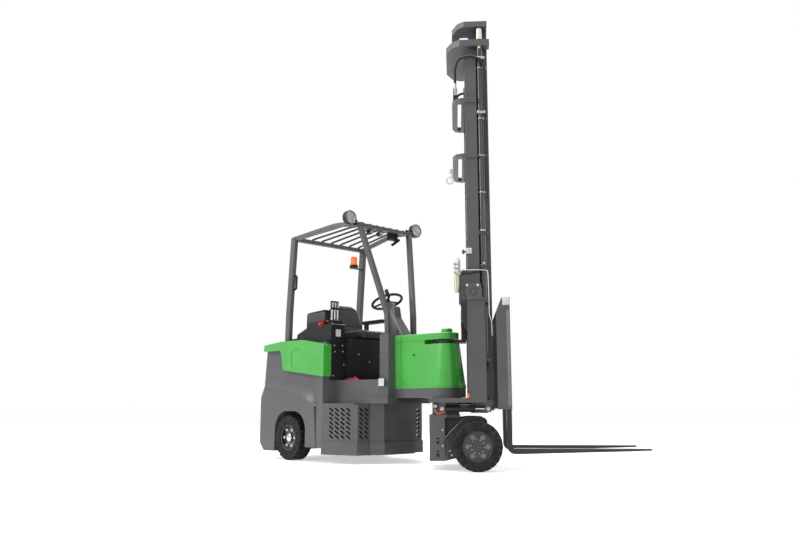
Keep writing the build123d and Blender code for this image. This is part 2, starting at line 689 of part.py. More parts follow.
def work_lamp():
    """A round work lamp beside the guard's right front corner, on a bracket from the roof's side rail."""
    y = -ROOF_FRONT_HALF - LAMP_R - LAMP_STAND - ROOF_RAIL[0] / 2
    shell = rod_along(y, LAMP_Z, LAMP_R, LAMP_X, LAMP_X + LAMP_DEPTH)
    shell = chamfer(shell.edges().group_by(Axis.X)[0], 18)
    return shell + block(LAMP_X + 8, LAMP_X + 24, y + LAMP_R - 22, -ROOF_FRONT_HALF, ROOF_Z + 2, LAMP_Z)


def small_lamps():
    """Two small lamps that hang under the visor."""
    z = ROOF_Z + 14 - VISOR_THICK
    x = ROOF_FRONT_X - 90
    return [rod_along(y, z - SMALL_LAMP_R - 22, SMALL_LAMP_R, x, x + 52) + rod_up(x + 26, y, 7,
                                                                                  z - SMALL_LAMP_R - 20,
                                                                                  z + 6)
            for y in SMALL_LAMPS_Y]


def roof_box():
    """The box under the roof's front, with an arm that reaches down beside it."""
    z = ROOF_Z - 18
    box = block(ROOF_FRONT_X - 95, ROOF_FRONT_X - 35, 110, 205, z - 60, z + 32)
    arm = Pos(ROOF_FRONT_X - 65, 200, z - 76) * Rot(35, 0, 0) * Box(22, 120, 24)
    return box + arm


def beacon_base():
    """A bracket from the left rear post with the beacon's round base on it."""
    inner_y = ROOF_REAR_HALF - REAR_POST[1] / 2
    bracket = block(BEACON_X - 42, BEACON_X - 12, inner_y - BEACON_ARM, inner_y, BEACON_FOOT_Z - 8,
                    BEACON_FOOT_Z)
    return bracket + rod_up(BEACON_X, inner_y - BEACON_ARM, BEACON_R + 12, BEACON_FOOT_Z - 8,
                            BEACON_FOOT_Z + BEACON_BASE)


def beacon_dome():
    z0 = BEACON_FOOT_Z + BEACON_BASE
    dome = rod_up(BEACON_X, ROOF_REAR_HALF - REAR_POST[1] / 2 - BEACON_ARM, BEACON_R, z0, z0 + BEACON_DOME)
    return fillet(dome.edges().group_by(Axis.Z)[-1], 16)


def grab_handle():
    """The handle on the right rear post, its ends on the post's front face."""
    y = -ROOF_REAR_HALF + REAR_POST[1] / 2 - 16
    x = REAR_POST_FOOT_X + REAR_POST[0] / 2
    path = FilletPolyline((x + 4, y, 1722), (x + 66, y, 1728), (x + 72, y, 1868), (x + 14, y, 1874),
                          radius=22)
    return sweep(Plane(origin=path @ 0, z_dir=path % 0) * Circle(11), path=path)


# Driver's place

def pedestal():
    """The seat's pedestal on the floor ahead of the body, its front raked."""
    side = ((PEDESTAL_REAR_X, BODY_TOP_Z + DECK_THICK), (FRONT_WALL_X, BODY_TOP_Z + DECK_THICK),
            (FRONT_WALL_X, FLOOR_Z + MAT_THICK),
            (PEDESTAL_FRONT_X, FLOOR_Z + MAT_THICK), (PEDESTAL_FRONT_X + PEDESTAL_RAKE, SEAT_PLATE_Z + 60),
            (PEDESTAL_REAR_X, SEAT_PLATE_Z + 60))
    return plate_across(side, -PEDESTAL_HALF, PEDESTAL_HALF)


def seat_cushion():
    z0 = SEAT_PLATE_Z + 60
    pad = block(CUSHION_FRONT_X - CUSHION_LENGTH, CUSHION_FRONT_X, -CUSHION_HALF, CUSHION_HALF, z0,
                z0 + CUSHION_THICK)
    return fillet(pad.edges(), 26)


def seat_back():
    pad = Box(BACK_THICK, 2 * BACK_HALF, BACK_Z - 1180)
    pad = fillet(pad.edges().filter_by(Axis.X), 90)
    pad = fillet(pad.edges().group_by(Axis.X)[-1], 24)
    return Pos(CUSHION_FRONT_X - CUSHION_LENGTH - BACK_THICK / 2 - 42, 0,
               (BACK_Z + 1176) / 2) * Rot(0, -BACK_RAKE, 0) * pad


def armrest():
    """The left armrest on a bracket from the pedestal's top."""
    y0, y1 = CUSHION_HALF + 18, CUSHION_HALF + 88
    pad = block(-1526, -1178, y0, y1, 1385, 1420)
    pad = fillet(pad.edges().filter_by(Axis.Y), 14)
    return pad + block(-1500, -1455, y0 + 12, y1 - 26, SEAT_PLATE_Z + 60, 1385)


def rear_cabinet():
    """The low black hood behind the seat."""
    side = ((CABINET_REAR_X, BODY_TOP_Z + DECK_THICK), (CABINET_FRONT_X, BODY_TOP_Z + DECK_THICK),
            (CABINET_FRONT_X, CABINET_Z), (CABINET_REAR_X + 60, CABINET_Z - 16),
            (CABINET_REAR_X, CABINET_Z - 46))
    return plate_across(side, -CABINET_HALF, CABINET_HALF)


def side_console():
    """The console at the driver's right hand with its raised box, and the panels on the body's front wall."""
    foot = BODY_TOP_Z + DECK_THICK
    box_rear, box_front = CONSOLE_BOX
    side = ((CONSOLE_REAR_X, foot), (FRONT_WALL_X, foot), (FRONT_WALL_X, CONSOLE_Z),
            (box_front, CONSOLE_Z + 6),
            (box_front - 10, CONSOLE_BOX_Z), (box_rear + 24, CONSOLE_BOX_Z - 12),
            (box_rear, CONSOLE_BOX_Z - 40),
            (box_rear, CONSOLE_Z - 12), (CONSOLE_REAR_X + 14, foot + 90))
    console = plate_across(side, -CONSOLE_HALF, -PEDESTAL_HALF - 1)
    low = block(FRONT_WALL_X, FRONT_WALL_X + SIDE_PANEL, -PANEL_HALF, -PEDESTAL_HALF - 1, SILL_Z + 2, foot)
    return console + low + mirrored(low)


def levers():
    """The row of lift levers on the console, in front of its box."""
    y = -(CONSOLE_HALF + PEDESTAL_HALF) / 2
    bank = block(LEVER_X - 20, LEVER_X + 70, y - 55, y + 55, CONSOLE_Z - 6, CONSOLE_Z + 40)
    sticks, knobs = [], []
    for k in range(3):
        stick_y = y + 34 * (k - 1)
        sticks.append(rod_up(LEVER_X + 20, stick_y, 7, CONSOLE_Z + 40, LEVER_Z - 70))
        grip = Pos(LEVER_X + 20, stick_y, LEVER_Z - 42) * Box(28, 24, 84)
        knobs.append(fillet(grip.edges(), 8))
    return bank + sticks + knobs


def wheel_plane():
    """The plane of the steering wheel, square to the column."""
    return Plane(origin=(COLUMN_TOP_X, 0, COLUMN_TOP_Z), z_dir=(-COLUMN_LEAN, 0, 1))


def steering_column():
    """A tapered column that leans back from the bulkhead's top towards the driver."""
    foot = Plane((COLUMN_FOOT_X + 55, 0, BULKHEAD_TOP_Z)) * RectangleRounded(130, 150, 36)
    top = wheel_plane().offset(-COLUMN_NECK) * RectangleRounded(84, 96, 26)
    return loft([foot, top], ruled=True)


def handwheel():
    """The steering wheel with three spokes and a knob on its rim."""
    tilt = wheel_plane()
    low, high = -COLUMN_NECK + RUN_GAP, 9
    hub = tilt * Pos(0, 0, (low + high) / 2) * Cylinder(34, high - low)
    spokes = [tilt * Rot(0, 0, 90 + 120 * k) * Pos(WHEEL_R / 2, 0, 0) * Box(WHEEL_R, 24, 10)
              for k in range(3)]
    knob = tilt * Pos(WHEEL_R * 0.8, -WHEEL_R * 0.6, 34) * Cylinder(19, 46)
    return hub + spokes + tilt * Torus(WHEEL_R, WHEEL_GRIP_R) + knob


# Front unit. Everything here is drawn with the forks along x, and turned when it is placed.

def axle_frame():
    """The gray housing below the pivot with the two side plates that hold the axle, and the box over it."""
    housing = block(HOUSING_X0, HOUSING_X1, -FRAME_HALF, FRAME_HALF, HOUSING_Z0, HOUSING_Z1)
    side = ((HOUSING_X1 - 1, HOUSING_Z0), (60, HOUSING_Z0 + 20), (200, 110), (330, 120), (330, 390),
            (303, 423), (147, 423),
            (-36, 253), (HOUSING_X1 - 1, 253))
    cheek = plate_across(side, -FRAME_HALF, -FRAME_HALF + SIDE_PLATE)
    top = block(HOUSING_X0, NOTCH_X, -FRAME_HALF, FRAME_HALF, HOUSING_Z1 - TOP_PLATE, HOUSING_Z1)
    core = block(HOUSING_X0 + 24, NOTCH_X - 6, -CORE_HALF, CORE_HALF, HOUSING_Z1 + SEAT_GAP,
                 PLATFORM_Z0 - SEAT_GAP)
    frame = housing + both(cheek) + top
    slots = [block(-92, -68, -FRAME_HALF - 1, -FRAME_HALF + 40, z, z + 52) for z in (110, 215)]
    frame -= both(slots[0] + slots[1])
    frame -= rod_across(FRONT_AXLE_X, FRONT_TYRE_R, FRONT_AXLE_TUBE_R + SEAT_GAP, -FRAME_HALF, FRAME_HALF)
    return group([frame, core])


def platform():
    """The slab over the wheels: notched for the mast, with the pivot's lower pin and bearing."""
    outline = ((HOUSING_X0, -PLATFORM_HALF), (PLATFORM_FRONT_X, -PLATFORM_HALF),
               (PLATFORM_FRONT_X, -NOTCH_HALF), (NOTCH_X, -NOTCH_HALF))
    slab = plate_up(outline + tuple((x, -y) for x, y in reversed(outline)), PLATFORM_Z0, PLATFORM_Z1)
    bearing = rod_up(0, 0, BEARING_R, PLATFORM_Z1, NOSE_Z0 - RUN_GAP)
    return slab + bearing + rod_up(0, 0, LOWER_PIN_R, PLATFORM_Z1, LOWER_PIN_TOP_Z) + tilt_anchors()


def front_axle():
    tube = rod_across(FRONT_AXLE_X, FRONT_TYRE_R, FRONT_AXLE_TUBE_R, -FRAME_HALF - 2, FRAME_HALF + 2)
    end = Pos(FRONT_AXLE_X, 0, FRONT_TYRE_R) * spindle(FRONT_AXLE_TUBE_R, FRONT_WHEEL_FACE_Y,
                                                       FRONT_TYRE_WIDTH)
    reach = rod_across(FRONT_AXLE_X, FRONT_TYRE_R, HUB_R - 4, -FRONT_WHEEL_FACE_Y + FRONT_TYRE_WIDTH + 4,
                       -FRAME_HALF + 1)
    return tube + both(end) + both(reach)


def tower():
    """The right-hand tower: a box section with the mast's pin bracket on its outer face."""
    side = ((TOWER_REAR_X, PLATFORM_Z1), (PLATFORM_FRONT_X, PLATFORM_Z1),
            (PLATFORM_FRONT_X - 8, TOWER_TOP_Z), (TOWER_REAR_X, TOWER_TOP_Z))
    web = plate_across(side, -TOWER_Y1, -TOWER_Y0)
    head = ((TOWER_REAR_X - 18, 1480), (TOWER_REAR_X - 8, BRACKET_TOP_Z),
            (PLATFORM_FRONT_X - 34, BRACKET_TOP_Z),
            (PLATFORM_FRONT_X - 20, 1505), (PLATFORM_FRONT_X - 20, 1428), (TOWER_REAR_X + 8, 1428))
    bracket = plate_across(head, -TOWER_Y1 - BRACKET_STAND, -TOWER_Y0, radius=8)
    pin_end = RAILS["outer"][3] - RAILS["outer"][4] + 1
    return web + bracket + rod_across(TILT_X, TILT_Z, TILT_PIN_R, -TOWER_Y1 - BRACKET_STAND - 3, -pin_end)


def upper_arm():
    """The arm from the pivot's upper pin through the nose's slot, up to a beam between the towers."""
    disc = rod_up(0, 0, ARM_DISC_R, ARM_Z0, ARM_Z1)
    arm = block(0, BEAM_X1, -ARM_HALF, ARM_HALF, ARM_Z0, ARM_Z1)
    riser = block(BEAM_X0, BEAM_X1, -ARM_HALF, ARM_HALF, ARM_Z1, BEAM_Z0)
    cross = block(BEAM_X0, BEAM_X1, -TOWER_Y0, TOWER_Y0, BEAM_Z0, BEAM_Z1)
    gusset = ((TOWER_REAR_X, BEAM_Z0 - 110), (BEAM_X0 + 10, BEAM_Z0 - 20), (BEAM_X0, BEAM_Z1 - 30),
              (TOWER_REAR_X, BEAM_Z1 + 20))
    ear = plate_across(gusset, -TOWER_Y1, -TOWER_Y0 + 2)
    return disc + arm + riser + cross + both(ear) - rod_up(0, 0, UPPER_PIN_R + RUN_GAP, ARM_Z0, ARM_Z1)


def lug_pair(x, z, top_z):
    """Two plates and a pin that hold a tilt cylinder's eye, up to top_z above the pin."""
    plates = [block(x - LUG_REACH, x + LUG_REACH, -TILT_Y - s - LUG_PLATE / 2, -TILT_Y - s + LUG_PLATE / 2,
                    z - LUG_REACH, top_z)
              for s in (-EYE_HALF - LUG_GAP - LUG_PLATE / 2, EYE_HALF + LUG_GAP + LUG_PLATE / 2)]
    face = -TILT_Y - EYE_HALF - LUG_GAP - LUG_PLATE
    pin = rod_across(x, z, LUG_PIN_R, face - 6, -TILT_Y + EYE_HALF + LUG_GAP + LUG_PLATE)
    return plates[0] + plates[1] + pin + rod_across(x, z, LUG_HEAD_R, face - 6, face)


def tilt_anchors():
    return both(lug_pair(TILT_ANCHOR_X, TILT_LUG_Z, PLATFORM_Z0))


def tilt_barrel():
    """The barrel with the eye that turns on the anchor's pin, bored for the rod."""
    eye = rod_across(TILT_ANCHOR_X, TILT_LUG_Z, EYE_R, -TILT_Y - EYE_HALF, -TILT_Y + EYE_HALF)
    tube = rod_along(-TILT_Y, TILT_LUG_Z, TILT_BARREL_R, TILT_ANCHOR_X + 34, TILT_LUG_X - 105)
    neck = rod_along(-TILT_Y, TILT_LUG_Z, 8, TILT_ANCHOR_X + 15, TILT_ANCHOR_X + 34)
    gland = rod_along(-TILT_Y, TILT_LUG_Z, TILT_BARREL_R + 3, TILT_LUG_X - 125, TILT_LUG_X - 105)
    bore = rod_along(-TILT_Y, TILT_LUG_Z, TILT_ROD_R + RUN_GAP, TILT_ANCHOR_X + 60, TILT_LUG_X - 105)
    hole = rod_across(TILT_ANCHOR_X, TILT_LUG_Z, LUG_PIN_R + RUN_GAP, -TILT_Y - EYE_HALF,
                      -TILT_Y + EYE_HALF)
    return eye + tube + neck + gland - bore - hole


def tilt_rod():
    """The rod and its eye, whose hole is wider than the pin so that it may drift as the mast tilts."""
    neck_x = TILT_LUG_X - LUG_REACH - 6
    eye = rod_across(TILT_LUG_X, TILT_LUG_Z, EYE_R, -TILT_Y - EYE_HALF, -TILT_Y + EYE_HALF)
    stem = rod_along(-TILT_Y, TILT_LUG_Z, TILT_ROD_R, TILT_ANCHOR_X + 85, neck_x)
    stem += rod_along(-TILT_Y, TILT_LUG_Z, 8, neck_x, TILT_LUG_X - EYE_R + 4)
    return eye + stem - rod_across(TILT_LUG_X, TILT_LUG_Z, LUG_PIN_R + EYE_DRIFT, -TILT_Y - EYE_HALF,
                                   -TILT_Y + EYE_HALF)


# Mast

def rail(stage):
    """One right-hand rail: a channel open towards the middle of the mast."""
    x0, x1, y0, y1, web, flange, z0, z1 = RAILS[stage]
    channel = block(x0, x1, -y1, -y0, z0, z1) - block(x0 + flange, x1 - flange, -y1 + web, -y0, z0, z1)
    if stage == "outer":
        hanger = ((x1, TILT_Z - 70), (x1, TILT_Z + 160), (x0 - 38, TILT_Z + 205), (x0 - 70, TILT_Z + 150),
                  (x0 - 74, TILT_Z + 10), (x0 - 30, TILT_Z - 60))
        channel += plate_across(hanger, -y1 - HANGER, -y1)
        channel -= rod_across(TILT_X, TILT_Z, TILT_PIN_R + RUN_GAP, -y1 - HANGER, -y1 + web)
    return channel


def rollers(stage, channel, z_low, z_high):
    """Rollers on the stage's rails that run inside the next channel out."""
    x0, x1, y0, y1, web, flange = RAILS[channel][:6]
    seat = RAILS[stage][3]
    x, r = (x0 + x1) / 2, (x1 - x0) / 2 - flange - RUN_GAP
    wheels = []
    for z in (z_low, z_high):
        stub = rod_across(x, z, ROLLER_STUB_R, -y0 - 2, -seat)
        wheels.append(both(stub + rod_across(x, z, r, -y1 + web + ROLLER_SIDE_GAP, -y0 - 2)))
    return wheels


def bowed(front_x, half, corners):
    """The outline of a plate that lies behind the mast, its rear corners cut back in steps."""
    right = ((front_x, -half),) + tuple((x, -half + inset) for x, inset in corners)
    return right + tuple((x, -y) for x, y in reversed(right))


def outer_straps():
    """Two flat straps behind the outer rails, wrapped round their sides and windowed, and a foot bar."""
    x0, x1, y1, z_foot = RAILS["outer"][0], RAILS["outer"][1], RAILS["outer"][3], RAILS["outer"][6]
    half = y1 + STRAP_WRAP
    w0, w1 = STRAP_WINDOW
    pieces = []
    for z0, z1 in STRAPS:
        window = plate_up(((w0, -half + 55), (w1, -half + 55), (w1, half - 55), (w0, half - 55)), z0, z1,
                          radius=15)
        wrap = block(x0, x1, -half, -y1, z0, z1)
        pieces.append(plate_up(bowed(x0, half, STRAP_CORNERS), z0, z1) - window + both(wrap))
    foot = block(x0 - 26, x0, -y1, y1, z_foot, z_foot + 30)
    return pieces + [foot]


def outer_foot():
    """Brackets at the outer rails' lower ends: a shelf for the lift cylinder and lugs for the tilt rod."""
    x1, z0 = RAILS["outer"][1], RAILS["outer"][6]
    shelf = block(x1, TILT_LUG_X + 39, -RAILS["outer"][3], -RAILS["outer"][2], z0 - 22, z0 + 18)
    return both(shelf + lug_pair(TILT_LUG_X, TILT_LUG_Z, z0 - 22))


def lift_barrel():
    """A lift cylinder's barrel on its shelf beside the rail, bored down to its foot."""
    z0 = RAILS["outer"][6] + 18
    tube = rod_up(CYLINDER_X, -CYLINDER_Y, CYLINDER_R, z0, CYLINDER_Z1)
    gland = rod_up(CYLINDER_X, -CYLINDER_Y, CYLINDER_R + 1, CYLINDER_Z1 - 40, CYLINDER_Z1)
    return tube + gland - rod_up(CYLINDER_X, -CYLINDER_Y, LIFT_ROD_R + RUN_GAP, z0 + 30, CYLINDER_Z1)


def lift_clamps():
    """Saddles that hold the lift cylinders to the rails."""
    x1, y0 = RAILS["outer"][1], RAILS["outer"][2]
    clamps = []
    for z in LIFT_CLAMP_Z:
        z1 = z + CLAMP_HEIGHT
        saddle = block(x1, HOSE_X, -CYLINDER_Y - CYLINDER_R, -y0, z, z1)
        saddle -= rod_up(CYLINDER_X, -CYLINDER_Y, CYLINDER_R + SEAT_GAP, z, z1)
        clamps.append(both(saddle - rod_up(HOSE_X, -HOSE_Y, HOSE_R + SEAT_GAP, z, z1)))
    return clamps


def lift_rod():
    return rod_up(CYLINDER_X, -CYLINDER_Y, LIFT_ROD_R, RAILS["outer"][6] + 60, RAILS["intermediate"][7])


def intermediate_band():
    """The plate that the lift rods push, over both rails of the middle stage and open for the inner one."""
    z0 = RAILS["intermediate"][7]
    z1 = z0 + BAND_HEIGHT
    gap_x, gap_y = RAILS["inner"][0] - BAND_GAP, RAILS["inner"][3] + BAND_GAP
    band = plate_up(bowed(BAND_FRONT_X, BAND_HALF, BAND_CORNERS), z0, z1)
    band -= block(gap_x, BAND_FRONT_X, -gap_y, gap_y, z0, z1)
    return band + both(rod_up(CYLINDER_X, -CYLINDER_Y + 1, STAGE_STOP_R, z1, RAILS["inner"][7] - BAND_GAP))


def inner_band():
    """The plate over both rails of the inner stage, bowed back over the one below."""
    z0, front_x = RAILS["inner"][7], RAILS["inner"][1]
    cap = plate_up(bowed(front_x, BAND_HALF, CAP_CORNERS), z0, z0 + CAP_HEIGHT)
    opening = plate_up(((150, -170), (235, -170), (235, 170), (150, 170)), z0, z0 + CAP_HEIGHT, radius=20)
    return cap - opening


def mast_hose():
    """The hose beside the right lift cylinder: up over the rail's top and down to the rear fitting."""
    top = RAILS["outer"][7] - 14
    path = FilletPolyline((HOSE_X, -HOSE_Y, HOSE_FOOT_Z), (HOSE_X, -HOSE_Y, top - 130),
                          (HOSE_X - 30, -HOSE_LOOP_Y, top - 40),
                          (HOSE_X - 130, -HOSE_LOOP_Y, top), (130, -HOSE_LOOP_Y, top - 30),
                          (104, -HOSE_LOOP_Y, top - 130),
                          (104, -HOSE_Y + 40, top - 290), radius=HOSE_BEND)
    return sweep(Plane(origin=path @ 0, z_dir=path % 0) * Circle(HOSE_R), path=path)


def hose_fitting():
    """The block at the hose's rear end, on the upper strap."""
    z0 = STRAPS[0][1]
    return block(84, 122, -HOSE_Y + 20, -HOSE_Y + 62, z0, z0 + 112)


def stage_cross(x0, x1, half, z_list):
    """Flat bars between a stage's rails."""
    return [block(x0, x1, -half, half, z, z + CROSS_HEIGHT) for z in z_list]


def free_lift():
    """The cylinder that lifts the carriage, on the inner stage's foot bar, with its sheaves and chains."""
    x = CENTRE_CYLINDER_X
    z0, z1 = CROSS_INNER[3][0] + CROSS_HEIGHT, CENTRE_CYLINDER_Z
    shelf = block(CROSS_INNER[0], x + CENTRE_CYLINDER_R, -60, 60, z0 - 20, z0)
    barrel = rod_up(x, 0, CENTRE_CYLINDER_R, z0, z1) + rod_up(x, 0, CENTRE_CYLINDER_R + 5, z1 - 50, z1)
    rod = rod_up(x, 0, CENTRE_ROD_R, z1, z1 + 60)
    head = block(x - 22, x + 22, -CHAIN_Y - 34, CHAIN_Y + 34, z1 + 60, z1 + 100)
    sheaves = [rod_across(x, z1 + 80, SHEAVE_R, y - 13, y + 13) for y in (-CHAIN_Y, CHAIN_Y)]
    chains = [block(CROSS_INNER[1], x - SHEAVE_R + 3, y - 12, y + 12, z0 - 40, z1 + 80)
              for y in (-CHAIN_Y, CHAIN_Y)]
    return shelf + barrel + rod + head + sheaves + chains


# Carriage and forks

def carriage_frame():
    """Two fork bars between end plates, with the plates behind them that carry the rollers."""
    cut_x, cut_z = CARRIAGE_CORNER
    end = ((CARRIAGE_X0, CARRIAGE_Z0), (CARRIAGE_X1, CARRIAGE_Z0), (CARRIAGE_X1, CARRIAGE_Z1),
           (CARRIAGE_X0 + cut_x, CARRIAGE_Z1),
           (CARRIAGE_X0, CARRIAGE_Z1 - cut_z))
    ends = plate_across(end, -CARRIAGE_HALF, -CARRIAGE_HALF + END_PLATE)
    bars = [block(BAR_X0, BAR_X1, -CARRIAGE_HALF + END_PLATE, CARRIAGE_HALF - END_PLATE, z0, z1) for z0,
            z1 in FORK_BARS]
    side = ((CARRIAGE_PLATE_X0, CARRIAGE_ROLLER_Z[0] - 50), (BAR_X0, 505), (BAR_X0, 930),
            (CARRIAGE_PLATE_X0, CARRIAGE_ROLLER_Z[1] + 50))
    cheek = plate_across(side, -CARRIAGE_PLATE_Y1, -CARRIAGE_PLATE_Y0)
    return both(ends) + bars[0] + bars[1] + both(cheek)


def carriage_rollers():
    x0, x1, y0, y1, web, flange = RAILS["inner"][:6]
    x, r = (x0 + x1) / 2, (x1 - x0) / 2 - flange - RUN_GAP
    wheels = []
    for z in CARRIAGE_ROLLER_Z:
        stub = rod_across(x, z, ROLLER_STUB_R, -y0 - 2, -CARRIAGE_PLATE_Y1)
        wheels.append(both(stub + rod_across(x, z, r, -y1 + web + ROLLER_SIDE_GAP, -y0 - 2)))
    return wheels


def load_backrest():
    """Upright bars between a top rail and the upper fork bar."""
    inner = CARRIAGE_HALF - END_PLATE
    z0 = FORK_BARS[1][1]
    rail_top = block(BAR_X0, BAR_X0 + GUARD_BAR, -inner, inner, CARRIAGE_Z1 - 42, CARRIAGE_Z1 - 4)
    bars = [Pos(0, (2 * k / (GUARD_BARS - 1) - 1) * (inner - 70), 0)
            * block(BAR_X0, BAR_X0 + 14, -GUARD_BAR / 2, GUARD_BAR / 2, z0, CARRIAGE_Z1 - 42)
            for k in range(GUARD_BARS)]
    return rail_top + bars


def fork():
    """A right-hand fork: an upright shank with hooks on both bars, a round heel and a tapered blade."""
    x0 = BAR_X1
    x1 = x0 + FORK_SHANK
    outline = ((x0, FORK_HEAD_Z), (x0, FORK_TOP_Z - FORK_THICK), (TAPER_START, FORK_TOP_Z - FORK_THICK),
               (FORK_TIP_X, FORK_TOP_Z - FORK_TIP_THICK), (FORK_TIP_X, FORK_TOP_Z), (x1, FORK_TOP_Z),
               (x1, FORK_HEAD_Z))
    points = [(x, -FORK_Y - FORK_HALF, z) for x, z in outline]
    wire = FilletPolyline(*points, radius=[0, FORK_HEEL_R, 0, 0, 0, FORK_HEEL_R / 3, 0], close=True)
    body = extrude(make_face(wire), amount=2 * FORK_HALF, dir=(0, 1, 0))
    taper = plate_up(((FORK_TIP_X - 160, -FORK_HALF - 1), (FORK_TIP_X + 1, -FORK_HALF - 1),
                      (FORK_TIP_X + 1, -FORK_HALF * 0.45)),
                     FORK_TOP_Z - FORK_THICK - 1, FORK_TOP_Z + 1)
    body -= Pos(0, -FORK_Y, 0) * (taper + mirrored(taper))
    top = FORK_BARS[1][1]
    hook = block(BAR_X0 - 12, x0, -FORK_Y - FORK_HALF, -FORK_Y + FORK_HALF, top, top + 22)
    hook += block(BAR_X0 - 12, BAR_X0, -FORK_Y - FORK_HALF, -FORK_Y + FORK_HALF, top - 16, top)
    return body + hook


def pieces():
    """Every node by name: those of the chassis, then those of the front unit."""
    rear_right = Pos(REAR_AXLE_X, 0, REAR_TYRE_R)
    front_right = Pos(FRONT_AXLE_X, 0, FRONT_TYRE_R)
    rear_tyre = rear_right * tyre(REAR_TYRE_R, REAR_TYRE_WIDTH, REAR_WHEEL_FACE_Y, RIM_R + SEAT_GAP)
    rear_rim = rear_right * rim(REAR_TYRE_WIDTH, REAR_WHEEL_FACE_Y, RIM_R)
    front_tyre = front_right * tyre(FRONT_TYRE_R, FRONT_TYRE_WIDTH, FRONT_WHEEL_FACE_Y, RIM_R + SEAT_GAP)
    front_rim = front_right * rim(FRONT_TYRE_WIDTH, FRONT_WHEEL_FACE_Y, RIM_R)
    step = step_box() - grille_slots(1) - grille_slots(-STEP_FAR_SHARE)
    cover, right_fork, fitting = side_cover(), fork(), hose_fitting()
    guard = guard_frame()
    barrel, rod = tilt_barrel(), tilt_rod()
    chassis = {
        "rear_body": rear_body(), "battery": battery(), "deck": deck(), "rear_axle": rear_axle(),
        "side_cover_right": cover, "side_cover_left": mirrored(cover), "step_box": step,
        "main_plate": main_plate(), "cab_floor": cab_floor(), "floor_mat": floor_mat(),
               "bulkhead": bulkhead(),
        "driver_controls": group([pedals(), levers() - side_console()]), "nose_band": nose_band(),
               "nose_housing": nose_housing(), "nose_cap": nose_cap(),
        "guard_frame": guard, "roof_bars": group([bar - guard for bar in roof_bars()] + [visor() - guard]),
        "work_lamps": group([both(work_lamp()) - guard] + [lamp - visor() for lamp in small_lamps()]),
        "guard_fittings": group([beacon_base(), grab_handle() - guard, roof_box() - visor()]),
               "beacon_dome": beacon_dome(),
        "seat_pedestal": pedestal() + armrest(), "seat_cushion": seat_cushion(), "seat_back": seat_back(),
        "rear_cabinet": rear_cabinet(), "side_console": side_console(),
        "steering_column": steering_column(), "handwheel": handwheel(),
        "tyre_rear_right": rear_tyre, "tyre_rear_left": mirrored(rear_tyre),
        "rim_rear_right": rear_rim, "rim_rear_left": mirrored(rear_rim),
    }
    front = {
        "axle_frame": axle_frame(), "platform": platform(), "front_axle": front_axle(),
        "towers": both(tower()), "upper_arm": upper_arm(),
        "tilt_barrel_right": barrel, "tilt_barrel_left": mirrored(barrel),
        "tilt_rod_right": rod, "tilt_rod_left": mirrored(rod),
        "outer_rails": both(rail("outer")), "outer_crossbars": group(outer_straps() + [outer_foot()]),
        "mast_hoses": group([mast_hose() - fitting, mirrored(mast_hose() - fitting), fitting,
                             mirrored(fitting)]),
        "lift_barrels": group([both(lift_barrel())] + lift_clamps()),
        "lift_rods": both(lift_rod()), "intermediate_rails": both(rail("intermediate")),
        "intermediate_crossbars": group([intermediate_band()] + stage_cross(*CROSS_MIDDLE)),
        "intermediate_rollers": group(rollers(*ROLLERS[0])),
        "inner_rails": both(rail("inner")),
        "inner_crossbars": group([inner_band(), stage_cross(*CROSS_INNER)[1],
                                  stage_cross(*CROSS_INNER)[0] + free_lift()]),
        "inner_rollers": group(rollers(*ROLLERS[1])),
        "carriage_frame": carriage_frame(), "carriage_rollers": group(carriage_rollers()),
        "load_backrest": load_backrest(), "fork_right": right_fork, "fork_left": mirrored(right_fork),
        "tyre_front_right": front_tyre, "tyre_front_left": mirrored(front_tyre),
        "rim_front_right": front_rim, "rim_front_left": mirrored(front_rim),
    }
    turned = {name: Rot(0, 0, PARKED_TURN) * shape for name, shape in front.items()}
    return {**chassis, **turned}


nodes = pieces()
whole = Compound(children=[Compound(shape.solids()) for shape in nodes.values()]).bounding_box()
to_origin = Pos(-whole.center().X, -whole.center().Y, -whole.min.Z)
for name, shape in nodes.items():
    export_step(Compound(children=(to_origin * shape).solids()), f"parts/{name}.step")
print("moved by", to_origin.position)
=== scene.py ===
import bmesh
import bpy
import json
from math import atan2, cos, exp, radians, sin, tau
from mathutils import Matrix, Vector


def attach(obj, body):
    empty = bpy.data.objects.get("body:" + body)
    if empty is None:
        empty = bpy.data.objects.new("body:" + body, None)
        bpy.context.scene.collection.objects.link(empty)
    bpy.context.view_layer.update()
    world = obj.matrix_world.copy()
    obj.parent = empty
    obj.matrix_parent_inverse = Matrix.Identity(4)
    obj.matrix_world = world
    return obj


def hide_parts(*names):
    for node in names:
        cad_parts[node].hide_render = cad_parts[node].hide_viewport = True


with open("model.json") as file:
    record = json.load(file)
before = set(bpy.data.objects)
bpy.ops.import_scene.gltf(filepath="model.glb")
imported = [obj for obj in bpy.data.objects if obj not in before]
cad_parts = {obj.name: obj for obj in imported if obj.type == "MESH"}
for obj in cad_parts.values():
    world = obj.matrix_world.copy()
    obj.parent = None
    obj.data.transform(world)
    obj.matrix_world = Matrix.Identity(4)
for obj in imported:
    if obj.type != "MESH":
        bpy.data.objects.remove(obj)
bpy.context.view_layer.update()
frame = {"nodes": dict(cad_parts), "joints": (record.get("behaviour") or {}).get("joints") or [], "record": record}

# The truck's own directions, from its hinge: the chassis looks along +X, the front unit along FRONT_X.
joints = {joint["name"]: joint for joint in frame["joints"]}
PIVOT = Vector(joints["articulation"]["pos_m"]) * Vector((1, 1, 0))
FRONT_Y = Vector(joints["mast_tilt"]["axis"]).normalized()
FRONT_X = FRONT_Y.cross(Vector((0, 0, 1)))
TURN = atan2(FRONT_X.y, FRONT_X.x)
CHASSIS = Matrix.Translation(PIVOT)
FRONT = CHASSIS @ Matrix.Rotation(TURN, 4, "Z")


# Shader writing: values are sockets, and arithmetic on them adds the nodes.

